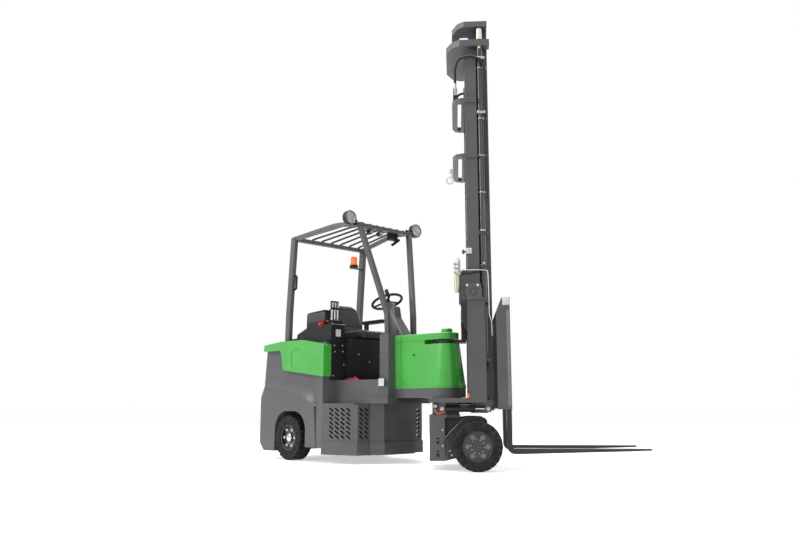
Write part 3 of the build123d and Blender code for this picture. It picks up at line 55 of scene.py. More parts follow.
class Value:
    """A number or colour that changes over a surface."""

    def __init__(self, finish, socket):
        self.finish = finish
        self.socket = socket

    def math(self, operation, first, second=0.0):
        return self.finish.node("ShaderNodeMath", {"operation": operation}, {0: first, 1: second})

    def __add__(self, other):
        return self.math("ADD", self, other)

    __radd__ = __add__

    def __sub__(self, other):
        return self.math("SUBTRACT", self, other)

    def __rsub__(self, other):
        return self.math("SUBTRACT", other, self)

    def __mul__(self, other):
        return self.math("MULTIPLY", self, other)

    __rmul__ = __mul__

    def sine(self):
        return self.math("SINE", self)

    def smooth(self, low, high):
        """0 below low, 1 above high, and smooth between."""
        return self.finish.node("ShaderNodeMapRange", {"interpolation_type": "SMOOTHSTEP"},
                                {"Value": self, "From Min": low, "From Max": high})


class Finish:
    """A material with one shader, whose varying inputs are written as expressions."""

    def __init__(self, name, colour, roughness, **constants):
        self.material = bpy.data.materials.new(name)
        self.material.use_nodes = True
        self.nodes = self.material.node_tree.nodes
        self.links = self.material.node_tree.links
        self.shader = self.nodes["Principled BSDF"]
        self.shader.inputs["Base Color"].default_value = (*colour, 1)
        self.shader.inputs["Roughness"].default_value = roughness
        for key, value in constants.items():
            self.shader.inputs[key.replace("_", " ").title().replace("Ior", "IOR")].default_value = value
        self.place = self.node("ShaderNodeTexCoord", {}, {}, "Object")

    def node(self, kind, settings, inputs, output=0):
        made = self.nodes.new(kind)
        for key, value in settings.items():
            setattr(made, key, value)
        for key, value in inputs.items():
            if isinstance(value, Value):
                self.links.new(value.socket, made.inputs[key])
            else:
                made.inputs[key].default_value = value
        return Value(self, made.outputs[output])

    def axis(self, letter):
        return self.node("ShaderNodeSeparateXYZ", {}, {0: self.place}, letter)

    def noise(self, scale, detail=3.0, place=None):
        inputs = {"Vector": place or self.place, "Scale": scale, "Detail": detail, "Roughness": 0.55}
        return self.node("ShaderNodeTexNoise", {}, inputs, "Fac")

    def cells(self, scale, feature="F1"):
        return self.node("ShaderNodeTexVoronoi", {"feature": feature},
                         {"Vector": self.place, "Scale": scale}, "Distance")

    def stretched(self, x, y, z):
        return self.node("ShaderNodeMapping", {}, {"Vector": self.place, "Scale": (x, y, z)})

    def mix(self, factor, first, second):
        colours = {6: first if isinstance(first, Value) else (*first, 1),
                   7: second if isinstance(second, Value) else (*second, 1), 0: factor}
        return self.node("ShaderNodeMix", {"data_type": "RGBA"}, colours, 2)

    def edges(self, radius):
        """1 on sharp edges, 0 on flat ground."""
        bevel = self.node("ShaderNodeBevel", {"samples": 4}, {"Radius": radius})
        normal = self.node("ShaderNodeNewGeometry", {}, {}, "Normal")
        same = self.node("ShaderNodeVectorMath", {"operation": "DOT_PRODUCT"}, {0: bevel, 1: normal},
                         "Value")
        return (1 - same).smooth(0.02, 0.25)

    def feed(self, name, value):
        self.links.new(value.socket, self.shader.inputs[name])
        return self

    def bump(self, height, distance):
        normal = self.node("ShaderNodeBump", {}, {"Height": height, "Distance": distance})
        return self.feed("Normal", normal)


def shade(colour, amount):
    return tuple(min(1.0, part * amount) for part in colour)


GRAY = (0.1, 0.1, 0.105)
MAST_GRAY = (0.094, 0.094, 0.1)
GREEN = (0.052, 0.42, 0.048)
BLACK = (0.013, 0.013, 0.014)


def paint(name, colour, roughness=0.42, peel=0.00012, grime=0.12, coat=0.25, edge_highlight=0.0):
    """Sprayed paint: orange peel, faint dust low down, soft gloss patches, and sharp edges painted lighter as a
    painted highlight.
    """
    finish = Finish(name, colour, roughness, coat_weight=coat, coat_roughness=0.25, specular_ior_level=0.32)
    cloud = finish.noise(3.5, 4)
    fine = finish.noise(420, 2)
    dust = (1 - finish.axis("Z").smooth(0.05, 0.9)) * cloud.smooth(0.42, 0.7) * grime
    tone = finish.mix(cloud.smooth(0.3, 0.75), shade(colour, 0.93), shade(colour, 1.06))
    # Sharp edges are painted up to 2.4 times lighter than the paint: a painted highlight.
    if edge_highlight:
        tone = finish.mix(finish.edges(0.006) * edge_highlight, tone, shade(colour, 2.4))
    finish.feed("Base Color", finish.mix(dust, tone, (0.2, 0.19, 0.175)))
    finish.feed("Roughness", roughness + (cloud - 0.5) * 0.14 + fine * 0.05 + dust)
    return finish.bump(finish.noise(260, 2), peel)


def fender_paint():
    """The axle frame's paint: body gray on the column behind the wheel and black on the fender over it, with sharp
    edges painted lighter as a painted highlight.
    """
    finish = Finish("fender_paint", GRAY, 0.42, coat_weight=0.25, coat_roughness=0.25,
                    specular_ior_level=0.32)
    start, ahead = FRONT.translation, FRONT.to_3x3() @ Vector((1, 0, 0))
    along = (finish.axis("X") - start.x) * ahead.x + (finish.axis("Y") - start.y) * ahead.y
    cloud = finish.noise(4, 4)
    black = finish.mix(cloud, (0.014, 0.014, 0.015), (0.026, 0.026, 0.027))
    # Sharp edges are painted lighter towards (0.2, 0.2, 0.2): a painted highlight.
    edge_highlight = finish.mix(finish.edges(0.005) * 0.4, finish.mix(along.smooth(-0.004, 0.0), GRAY, black),
                        (0.2, 0.2, 0.2))
    finish.feed("Base Color", edge_highlight)
    finish.feed("Roughness", 0.36 + cloud * 0.15)
    return finish.bump(finish.noise(260, 2), 0.00012)


def plastic(name, colour, roughness=0.5, grain=900):
    """Moulded plastic with a fine pebble grain."""
    finish = Finish(name, colour, roughness, specular_ior_level=0.25)
    cloud = finish.noise(6, 3)
    finish.feed("Base Color", finish.mix(cloud, shade(colour, 0.85), shade(colour, 1.25)))
    finish.feed("Roughness", roughness + (cloud - 0.5) * 0.16)
    return finish.bump(finish.cells(grain), 0.00012)


def tyre_rubber(name, painted_highlight):
    finish = Finish(name, (0.03, 0.03, 0.029), 0.75, specular_ior_level=0.15)
    dust = finish.noise(14, 5).smooth(0.45, 0.75)
    # Dust lightens the rubber in patches, and the second argument lightens the whole piece evenly: a painted
    # highlight, strong on the lugs' copy.
    finish.feed("Base Color", finish.mix(dust * 0.5 + painted_highlight, (0.014, 0.014, 0.014), (0.085, 0.08, 0.07)))
    finish.feed("Roughness", 0.68 + dust * 0.2)
    return finish.bump(finish.noise(180, 4), 0.0004)


def steel(name, colour=(0.55, 0.55, 0.56), roughness=0.32):
    """Machined steel with fine lines along the piece."""
    finish = Finish(name, colour, roughness, metallic=1.0)
    lines = finish.noise(9, 4, place=finish.stretched(4, 4, 120))
    finish.feed("Base Color", finish.mix(lines, shade(colour, 0.78), shade(colour, 1.15)))
    finish.feed("Roughness", roughness + (lines - 0.5) * 0.25)
    return finish.bump(lines, 0.00005)


def vinyl():
    finish = Finish("seat_vinyl", (0.022, 0.022, 0.023), 0.42, specular_ior_level=0.4)
    grain = finish.cells(520, "DISTANCE_TO_EDGE")
    wear = finish.noise(5, 4).smooth(0.4, 0.75)
    finish.feed("Base Color", finish.mix(wear, (0.017, 0.017, 0.018), (0.04, 0.04, 0.042)))
    finish.feed("Roughness", 0.36 + wear * 0.16)
    return finish.bump(grain.smooth(0, 0.12), 0.00025)


def ribbed_mat():
    finish = Finish("floor_mat_red", (0.42, 0.025, 0.015), 0.7)
    ribs = (finish.axis("Y") * 520).sine()
    finish.feed("Base Color", finish.mix(ribs.smooth(-0.3, 0.6), (0.2, 0.012, 0.008), (0.46, 0.03, 0.018)))
    finish.feed("Roughness", 0.62 + finish.noise(40) * 0.2)
    return finish.bump(ribs, 0.0012)


def amber():
    finish = Finish("beacon_amber", (0.95, 0.2, 0.012), 0.18, transmission_weight=0.35,
                    emission_color=(0.9, 0.22, 0.01, 1), emission_strength=0.25)
    ribs = (finish.axis("Z") * 900).sine()
    finish.feed("Base Color", finish.mix(ribs.smooth(-0.6, 0.8), (0.7, 0.1, 0.005), (0.98, 0.27, 0.02)))
    finish.feed("Roughness", 0.16 + ribs.smooth(-1, 1) * 0.1)
    return finish.bump(ribs, 0.0006)


def hose_rubber():
    """Hydraulic hose: smooth black rubber with a faint wrapped weave."""
    finish = Finish("hose_rubber", (0.018, 0.018, 0.018), 0.5, specular_ior_level=0.3)
    wrap = (finish.axis("Z") * 1400 + finish.axis("X") * 700).sine()
    finish.feed("Base Color", finish.mix(wrap.smooth(-0.5, 0.9), (0.014, 0.014, 0.014),
                                         (0.03, 0.03, 0.031)))
    finish.feed("Roughness", 0.45 + finish.noise(30) * 0.15)
    return finish.bump(wrap, 0.0002)


def lamp_face():
    """The lit glass of a lamp: a reflector's rings and its small lights behind it."""
    finish = Finish("lamp_glass", (0.8, 0.82, 0.84), 0.12, coat_weight=1.0, emission_strength=0.22)
    lights = finish.cells(46)
    glow = (1 - lights.smooth(0.12, 0.42)) * 0.9 + 0.35
    finish.feed("Base Color", finish.mix(lights.smooth(0.1, 0.5), (0.6, 0.61, 0.62), (0.2, 0.21, 0.23)))
    finish.feed("Emission Color", finish.mix(glow, (0.25, 0.26, 0.28), (1.0, 0.98, 0.94)))
    return finish.bump(lights, 0.0012)


FINISHES = {
    # The body, mast and cover paints get sharp edges painted lighter: a painted highlight.
    "painted_body": paint("body_gray", GRAY, edge_highlight=0.5),
    "mast_paint": paint("mast_gray", MAST_GRAY, 0.4, edge_highlight=0.6),
    "green_cover": paint("cover_green", GREEN, 0.26, peel=0.00005, grime=0.03, coat=0.7, edge_highlight=0.2),
    "fender": fender_paint(),
    "cylinder": paint("cylinder_black", (0.02, 0.02, 0.021), 0.2, peel=0.00003, grime=0.05, coat=1.0),
    "hose": hose_rubber(),
    "zinc": steel("fastener_zinc", (0.42, 0.42, 0.41), 0.36),
    "glass": lamp_face(),
    "enamel": paint("pale_enamel", (0.72, 0.72, 0.7), 0.35, grime=0.02),
    "pipe": steel("pipe_pale", (0.78, 0.74, 0.6), 0.3),
    "gray_plastic": plastic("panel_gray", (0.06, 0.06, 0.063), 0.55, grain=600),
    "body_bolt": paint("bolt_gray", (0.2, 0.2, 0.205), 0.3, grime=0.05),
    "nut": paint("nut_black", (0.045, 0.045, 0.047), 0.25, grime=0.1),
    "red": plastic("button_red", (0.62, 0.02, 0.015), 0.3),
    "brass": steel("valve_yellow", (0.5, 0.48, 0.34), 0.42),
    "battery_case": paint("battery_gray", shade(GRAY, 0.7)),
    "black_panel": plastic("panel_black", BLACK),
    "red_mat": ribbed_mat(),
    # The lugs' rubber is a lighter copy of the tyre's: a painted highlight on the lugs.
    "tyre": tyre_rubber("tyre_rubber", 0.04),
    "tyre_lug": tyre_rubber("tyre_lug_rubber", 0.3),
    "rim": paint("rim_black", (0.018, 0.018, 0.019), 0.25, grime=0.1, coat=0.6),
    "vinyl": vinyl(),
    "fork_black": paint("fork_black", (0.02, 0.02, 0.021), 0.38, grime=0.05),
    "steel": steel("roller_steel"),
    "chrome": steel("rod_chrome", (0.6, 0.6, 0.61), 0.16),
    "lamp": plastic("lamp_black", (0.02, 0.02, 0.02), 0.35),
    "amber": amber(),
    "dark_metal": paint("chassis_black", (0.02, 0.02, 0.021), 0.5, grime=0.2, coat=0.05),
}
FINISH_OF = {row["node"]: row["material_slot"] for row in frame["record"]["subparts"]}
FINISH_OF |= {"lift_barrels": "cylinder", "axle_frame": "fender"}
for name, node in frame["nodes"].items():
    for slot in node.material_slots:
        slot.material = FINISHES[FINISH_OF[name]].material
    if not node.material_slots:
        node.data.materials.append(FINISHES[FINISH_OF[name]].material)


# Modelling by hand: a primitive is placed, shaped in edit mode, copied, joined and set into the truck.

WAYS = {
    "up": Matrix.Identity(4),
    "right": Matrix.Rotation(radians(90), 4, "X"),
    "left": Matrix.Rotation(radians(-90), 4, "X"),
    "ahead": Matrix.Rotation(radians(90), 4, "Y"),
    "back": Matrix.Rotation(radians(-90), 4, "Y"),
}


def facing(way, x, y, z):
    """The place of a piece that was made at the origin pointing up."""
    return Matrix.Translation((x, y, z)) @ WAYS[way]


def begin(shape, **sizes):
    bpy.ops.object.select_all(action="DESELECT")
    getattr(bpy.ops.mesh, f"primitive_{shape}_add")(**sizes)
    return bpy.context.object


def pick(piece, test):
    """Selects, in edit mode, the faces whose middle and direction pass the test."""
    bpy.ops.object.mode_set(mode="EDIT")
    bpy.ops.mesh.select_mode(type="FACE")
    bpy.ops.mesh.select_all(action="DESELECT")
    shape = bmesh.from_edit_mesh(piece.data)
    for face in shape.faces:
        face.select_set(test(face.calc_center_median(), face.normal))
    bmesh.update_edit_mesh(piece.data)


def leave(piece):
    bpy.ops.object.mode_set(mode="OBJECT")
    return piece


def top(middle, way):
    return way.z > 0.9


def press(piece, *steps):
    """Insets the top again and again: each step is how far in and how far up."""
    pick(piece, top)
    for inward, upward in steps:
        bpy.ops.mesh.inset(thickness=inward, depth=upward)
    return leave(piece)


def eased(piece, width, segments=2):
    """Rounds the sharp edges with an applied bevel."""
    bpy.ops.object.select_all(action="DESELECT")
    piece.select_set(True)
    bpy.context.view_layer.objects.active = piece
    bevel = piece.modifiers.new("eased", "BEVEL")
    bevel.width, bevel.segments, bevel.limit_method = width, segments, "ANGLE"
    bpy.ops.object.modifier_apply(modifier=bevel.name)
    return piece


def sized(piece, x, y, z, about=(0, 0, 0)):
    """Stretches the whole piece about a point."""
    bpy.ops.object.mode_set(mode="EDIT")
    bpy.ops.mesh.select_all(action="SELECT")
    bpy.ops.transform.resize(value=(x, y, z), center_override=about)
    return leave(piece)


def divided(piece, cuts):
    """Divides every face of the piece."""
    bpy.ops.object.mode_set(mode="EDIT")
    bpy.ops.mesh.select_all(action="SELECT")
    bpy.ops.mesh.subdivide(number_cuts=cuts)
    return leave(piece)


def slab(x, y, z, width=0.002):
    """A plate of that size about the origin, with rounded edges."""
    return eased(sized(begin("cube", size=1), x, y, z), width)


def copies(piece, places):
    """A copy with its own mesh at every place, and none where the piece was made."""
    twins = []
    for place in places:
        twin = piece.copy()
        twin.data = piece.data.copy()
        bpy.context.scene.collection.objects.link(twin)
        twin.matrix_world = place
        twins.append(twin)
    bpy.data.objects.remove(piece)
    return twins


CHASSIS_BODIES = ("chassis", "rear_wheel_right", "rear_wheel_left")


def fit(name, parts, body, finish):
    """Joins the parts into one piece in the truck's place, with its finish and the body it moves with."""
    truck_place = CHASSIS if body in CHASSIS_BODIES else FRONT
    bpy.context.view_layer.update()
    bpy.ops.object.select_all(action="DESELECT")
    for part in parts:
        part.select_set(True)
    bpy.context.view_layer.objects.active = parts[0]
    if len(parts) > 1:
        bpy.ops.object.join()
    whole = bpy.context.object
    whole.matrix_world = truck_place @ whole.matrix_world
    bpy.ops.object.transform_apply(location=True, rotation=True, scale=True)
    bpy.ops.object.shade_smooth_by_angle(angle=radians(35))
    whole.name = name
    whole.data.materials.clear()
    whole.data.materials.append(FINISHES[finish].material)
    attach(whole, body)
    return whole


# Fasteners

def hex_bolt(radius, height):
    """A hexagon head with a chamfered top, on its washer."""
    head = press(begin("cylinder", vertices=6, radius=radius, depth=height, location=(0, 0, height / 2)),
                 (radius * 0.14, radius * 0.08))
    washer = begin("cylinder", vertices=16, radius=radius * 1.35, depth=height * 0.22,
                   location=(0, 0, height * 0.11))
    press(washer, (radius * 0.1, 0.0003))
    return merged([head, washer])


def dome_bolt(radius, height):
    """A button head with its socket."""
    head = begin("cylinder", vertices=14, radius=radius, depth=height, location=(0, 0, height / 2))
    return press(head, (radius * 0.25, height * 0.35), (radius * 0.3, height * 0.12),
                 (radius * 0.08, -height * 0.4))


def merged(parts):
    bpy.ops.object.select_all(action="DESELECT")
    for part in parts:
        part.select_set(True)
    bpy.context.view_layer.objects.active = parts[0]
    bpy.ops.object.join()
    bpy.ops.object.transform_apply(location=True, rotation=True, scale=True)
    return bpy.context.object


def around(centre, radius, count, start, way):
    """Places on a circle about an axle, seen from the side."""
    x, y, z = centre
    turns = [radians(start) + tau * k / count for k in range(count)]
    return [facing(way, x + radius * cos(turn), y, z + radius * sin(turn)) for turn in turns]


# Wheels: axle x, wheel radius, and the rim disc's face

REAR_WHEEL = (-1.629, 0.2177, 0.562)
FRONT_WHEEL = (0.2485, 0.203, 0.520)
NUTS, NUT_CIRCLE = 6, 0.085
RIM_BOLTS, RIM_BOLT_CIRCLE = 10, 0.0545
LUGS = 22


def wheel_dressing(end, side):
    """Nuts, bolts and the hub's cap on a rim."""
    x, z, face = REAR_WHEEL if end == "rear" else FRONT_WHEEL
    way, sign = ("right", -1) if side == "right" else ("left", 1)
    body = f"{end}_wheel_{side}"
    bright = end == "rear"
    nut = press(begin("cylinder", vertices=6, radius=0.0155, depth=0.014, location=(0, 0, 0.007)),
                (0.003, 0.0015))
    stud = press(begin("cylinder", vertices=12, radius=0.0075, depth=0.024, location=(0, 0, 0.012)),
                 (0.0015, 0.0008))
    nuts = copies(merged([nut, stud]), around((x, sign * face, z), NUT_CIRCLE, NUTS, 0, way))
    fit(f"{end}_wheel_nuts_{side}", nuts, body, "chrome" if bright else "body_bolt")
    if not bright:
        band = begin("torus", major_radius=0.0185, minor_radius=0.0016, major_segments=28, minor_segments=6)
        bands = copies(sized(band, 1, 1, 1.6), around((x, sign * face, z), NUT_CIRCLE, NUTS, 0, way))
        fit(f"{end}_nut_rings_{side}", bands, body, "zinc")
    ring = copies(dome_bolt(0.0052 if bright else 0.0066, 0.006),
                  around((x, sign * face, z), RIM_BOLT_CIRCLE, RIM_BOLTS, 29, way))
    fit(f"{end}_rim_bolts_{side}", ring, body, "zinc")
    cap = begin("cylinder", vertices=40, radius=0.041 if bright else 0.044, depth=0.006,
                location=(0, 0, 0.003))
    domed = ((0.004, 0.004), (0.006, 0.005), (0.012, 0.004), (0.01, 0.001))
    dished = ((0.003, 0.001), (0.008, -0.003), (0.005, 0))
    press(cap, *(domed if bright else dished))
    coat = "chrome" if bright else "rim"
    fit(f"{end}_hub_cap_{side}", copies(cap, [facing(way, x, sign * (face + 0.016), z)]), body, coat)
    weight = copies(slab(0.03, 0.012, 0.004, 0.001),
                    [facing(way, x - 0.06, sign * (face + 0.024), z + 0.105)])
    for clip in weight:
        clip.rotation_euler.rotate_axis("Z", radians(30))
    fit(f"{end}_balance_clip_{side}", weight, body, "zinc")


def lamp_front(name, x, y, z, radius):
    """The lit glass with its bright rim in front of a lamp's shell."""
    glass = begin("cylinder", vertices=40, radius=radius * 0.84, depth=0.004, location=(0, 0, 0.002))
    press(glass, (radius * 0.2, 0.003), (radius * 0.25, 0.0015))
    fit(f"{name}_glass", copies(glass, [facing("ahead", x, y, z)]), "chassis", "glass")
    rim = begin("torus", major_radius=radius * 0.9, minor_radius=radius * 0.075, major_segments=44,
                minor_segments=10)
    fit(f"{name}_rim", copies(sized(rim, 1, 1, 1.5), [facing("ahead", x + 0.001, y, z)]), "chassis", "nut")


def tyre_dressing(end, side):
    """The lugs' ends on the tyre's outer shoulder, modelled once and set round the wheel."""
    x, z, face = REAR_WHEEL if end == "rear" else FRONT_WHEEL
    sign = -1 if side == "right" else 1
    lug = sized(begin("cube", size=1), 0.034, 0.007, 0.032)
    pick(lug, lambda middle, way: way.x < -0.9)
    bpy.ops.transform.resize(value=(1, 0.3, 0.55))
    leave(lug)
    eased(lug, 0.002, 2)
    places = []
    for number in range(LUGS):
        turn = Matrix.Translation((x, 0, z)) @ Matrix.Rotation(tau * (number + 0.5) / LUGS, 4, "Y")
        step = Matrix.Translation((z - 0.0235, sign * (face + 0.0325), 0))
        places.append(turn @ step @ Matrix.Rotation(radians(14 * sign), 4, "X"))
    fit(f"{end}_tyre_lugs_{side}", copies(lug, places), f"{end}_wheel_{side}", "tyre_lug")


for end in ("rear", "front"):
    for side in ("right", "left"):
        wheel_dressing(end, side)
        tyre_dressing(end, side)
for name, y in (("right", -0.442), ("left", 0.442)):
    lamp_front(f"work_lamp_{name}", -0.862, y, 2.342, 0.072)
for number, y in enumerate((-0.15, -0.02)):
    lamp_front(f"small_lamp_{number + 1}", -0.893, y, 2.247, 0.024)


# Seat: stuffed pads with sewn channels

AIR_FRAMES = 20
AIR_PRESSURE = 4
STUFFING_REACH = 0.014
FINE_VOXEL, QUICK_VOXEL = 0.006, 0.0085


def stuffed(pad):
    """Blows the pad up with cloth and air, and keeps every point within STUFFING_REACH of where it was."""
    bpy.ops.object.select_all(action="DESELECT")
    pad.select_set(True)
    bpy.context.view_layer.objects.active = pad
    even = pad.modifiers.new("even", "REMESH")
    even.mode, even.voxel_size = "VOXEL", FINE_VOXEL
    bpy.ops.object.modifier_apply(modifier=even.name)
    starts = [vertex.co.copy() for vertex in pad.data.vertices]
    cloth = pad.modifiers.new("air", "CLOTH")
    cloth.settings.use_pressure = True
    cloth.settings.uniform_pressure_force = AIR_PRESSURE
    cloth.settings.effector_weights.gravity = 0
    cloth.point_cache.frame_start, cloth.point_cache.frame_end = 1, AIR_FRAMES
    for number in range(1, AIR_FRAMES + 1):
        bpy.context.scene.frame_set(number)
    bpy.ops.object.modifier_apply(modifier=cloth.name)
    bpy.context.scene.frame_set(1)
    for vertex, start in zip(pad.data.vertices, starts):
        moved = vertex.co - start
        if moved.length > STUFFING_REACH:
            vertex.co = start + moved.normalized() * STUFFING_REACH
    return pad


def sewn(pad, seams):
    """Presses each seam into the pad: its axis, its place, its depth, and the half width of its groove."""
    pad.data.update()
    for vertex in pad.data.vertices:
        for axis, place, depth, width in seams:
            share = exp(-((vertex.co[axis] - place) / width) ** 2)
            vertex.co -= vertex.normal * depth * share
    return pad


def smoothed(pad):
    finer = pad.modifiers.new("finer", "SUBSURF")
    finer.levels = finer.render_levels = 1
    bpy.ops.object.modifier_apply(modifier=finer.name)
    return pad


def pad_block(length, width, thick, inset, crown):
    """A pad's first shape: a divided cube, crowned on top and pulled in between its corners."""
    pad = divided(sized(begin("cube", size=1), length, width, thick), 7)
    for vertex in pad.data.vertices:
        u, v = vertex.co.x / length * 2, vertex.co.y / width * 2
        if vertex.co.z > 0:
            vertex.co.z += crown * (1 - u * u) * (1 - v * v)
        vertex.co.y *= 1 - inset * (1 - u * u)
        vertex.co.x *= 1 - inset * (1 - v * v)
    return eased(pad, thick * 0.3, 4)


def seat_pads():
    """The seat's cushion and its back, with a centre panel and bolsters."""
    cushion = pad_block(0.455, 0.44, 0.062, 0.03, 0.010)
    pick(cushion, lambda middle, way: way.z > 0.5 and abs(middle.y) > 0.15)
    bpy.ops.transform.translate(value=(0, 0, 0.007))
    stuffed(leave(cushion))
    sewn(cushion, ((1, 0.14, 0.008, 0.006), (1, -0.14, 0.008, 0.006), (0, 0.155, 0.006, 0.006),
                   (0, 0.02, 0.004, 0.005), (0, -0.09, 0.004, 0.005)))
    pad = fit("seat_pad", copies(smoothed(cushion), [facing("up", -1.172, 0, 1.218)]), "chassis", "vinyl")
    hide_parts("seat_cushion")
    back = pad_block(0.40, 0.43, 0.068, 0.02, 0.010)
    for vertex in back.data.vertices:
        up = vertex.co.x / 0.40 + 0.5
        across = abs(vertex.co.y) / 0.215
        vertex.co.x -= 0.05 * across ** 4 * up ** 3
        vertex.co.y *= 1.06 - 0.24 * up * up
        if vertex.co.z > 0:
            vertex.co.z += 0.012 * (abs(vertex.co.y) / 0.2) ** 2 * (1 - up)
    stuffed(back)
    sewn(back, ((1, 0.125, 0.008, 0.006), (1, -0.125, 0.008, 0.006), (0, 0.12, 0.005, 0.006),
                (0, -0.06, 0.005, 0.006)))
    lean = Matrix.Rotation(radians(78), 4, "Y") @ Matrix.Rotation(radians(180), 4, "Z")
    lean = Matrix.Translation((-1.4995, 0, 1.383)) @ lean
    pad = fit("seat_back_pad", copies(smoothed(back), [lean]), "chassis", "vinyl")
    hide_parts("seat_back")


seat_pads()


# Driver's place

PANEL_X = -1.064
CONSOLE_SIDE_Y, CONSOLE_MIDDLE_Y = -0.5, -0.418
LEVERS, LEVER_GAP = 3, 0.034
PANEL_BOLTS = ((-0.464, 1.1), (-0.365, 1.105), (-0.508, 1.02), (-0.457, 1.042), (-0.358, 1.046),
               (-0.345, 0.921), (-0.473, 0.812), (0.36, 1.05), (0.46, 1.05), (0.47, 0.82))
PEDESTAL_BOLTS = ((-0.237, 1.022), (-0.094, 0.951), (0.035, 1.018), (0.22, 1.02), (-0.26, 0.80),
                  (0.24, 0.80))


def driver_dressing():
    """Screws, plates, switches, lever sleeves, the mat's edge and the column's cover."""
    places = [facing("ahead", PANEL_X, y, z) for y, z in PANEL_BOLTS]
    places += [facing("ahead", -1.0 + 0.045 * (z - 0.73) / 0.442, y, z) for y, z in PEDESTAL_BOLTS]
    fit("panel_screws", copies(dome_bolt(0.0085, 0.006), places), "chassis", "zinc")
    plate = press(slab(0.07, 0.06, 0.003, 0.001), (0.003, 0.0004))
    fit("console_plate", copies(plate, [facing("ahead", -1.0685, -0.415, 1.225)]), "chassis", "enamel")
    plate = press(slab(0.078, 0.07, 0.003, 0.001), (0.003, 0.0004))
    fit("sill_plate", copies(plate, [facing("right", -0.562, -0.2985, 0.742)]), "chassis", "enamel")
    stop = begin("cylinder", vertices=32, radius=0.024, depth=0.012, location=(0, 0, 0.006))
    press(stop, (0.006, 0), (0.002, 0.012), (-0.006, 0.001), (0.001, 0.008), (0.007, 0.004))
    fit("stop_button", copies(stop, [facing("right", -1.232, CONSOLE_SIDE_Y, 1.318)]), "chassis", "red")
    key = press(begin("cylinder", vertices=20, radius=0.010, depth=0.012, location=(0, 0, 0.006)),
                (0.003, 0.003))
    fit("red_switch", copies(key, [facing("right", -1.135, CONSOLE_SIDE_Y, 1.342)]), "chassis", "red")
    panel = slab(0.30, 0.088, 0.005, 0.002)
    fit("console_side_panel", copies(panel, [facing("right", -1.325, -0.5005, 1.392)]), "chassis",
        "gray_plastic")
    edge = slab(0.004, 0.155, 0.006, 0.0015)
    fit("console_edge", copies(edge, [facing("up", -1.068, CONSOLE_MIDDLE_Y, 1.3085)]), "chassis", "pipe")
    for number in range(LEVERS):
        y = CONSOLE_MIDDLE_Y + LEVER_GAP * (number - 1)
        sleeve = begin("cylinder", vertices=20, radius=0.0105, depth=0.10, location=(0, 0, 0))
        press(sleeve, (0.003, 0.002))
        cuff = begin("torus", major_radius=0.0105, minor_radius=0.004, major_segments=20, minor_segments=8,
                     location=(0, 0, -0.04))
        fit(f"lever_sleeve_{number + 1}", copies(merged([sleeve, cuff]), [facing("up", -1.13, y, 1.405)]),
            "chassis", "chrome")
        face = slab(0.004, 0.018, 0.05, 0.0015)
        fit(f"lever_face_{number + 1}", copies(face, [facing("up", -1.1155, y, 1.503)]), "chassis",
            "enamel")
    lip = divided(slab(0.20, 0.008, 0.02, 0.003), 4)
    for vertex in lip.data.vertices:
        if vertex.co.z > 0:
            vertex.co.z *= 1.6 - 60 * vertex.co.x ** 2
    fit("mat_edge", copies(lip, [facing("up", -0.93, -0.352, 0.775)]), "chassis", "red_mat")
    cover = sized(begin("cube", size=1), 0.105, 0.085, 0.30)
    pick(cover, lambda middle, way: way.z < -0.9)
    bpy.ops.transform.resize(value=(1.4, 1.25, 1))
    bpy.ops.transform.translate(value=(0.03, 0, 0))
    bpy.ops.mesh.extrude_region_move(TRANSFORM_OT_translate={"value": (0.02, 0, -0.22)})
    pick(cover, lambda middle, way: way.x > 0.9)
    bpy.ops.mesh.inset(thickness=0.012, depth=-0.004)
    fit("column_cover", copies(eased(leave(cover), 0.014, 4), [facing("up", -0.722, 0, 1.335)]), "chassis",
        "mast_paint")
    stalk = begin("cylinder", vertices=14, radius=0.007, depth=0.11, location=(0, 0, 0.055))
    tip = (0, 0, 0.115)
    knob = sized(begin("uv_sphere", segments=20, ring_count=12, radius=0.014, location=tip), 1, 1, 1.35,
                 tip)
    fit("direction_stalk", copies(merged([stalk, knob]), [facing("right", -0.775, -0.03, 1.46)]), "chassis",
        "nut")


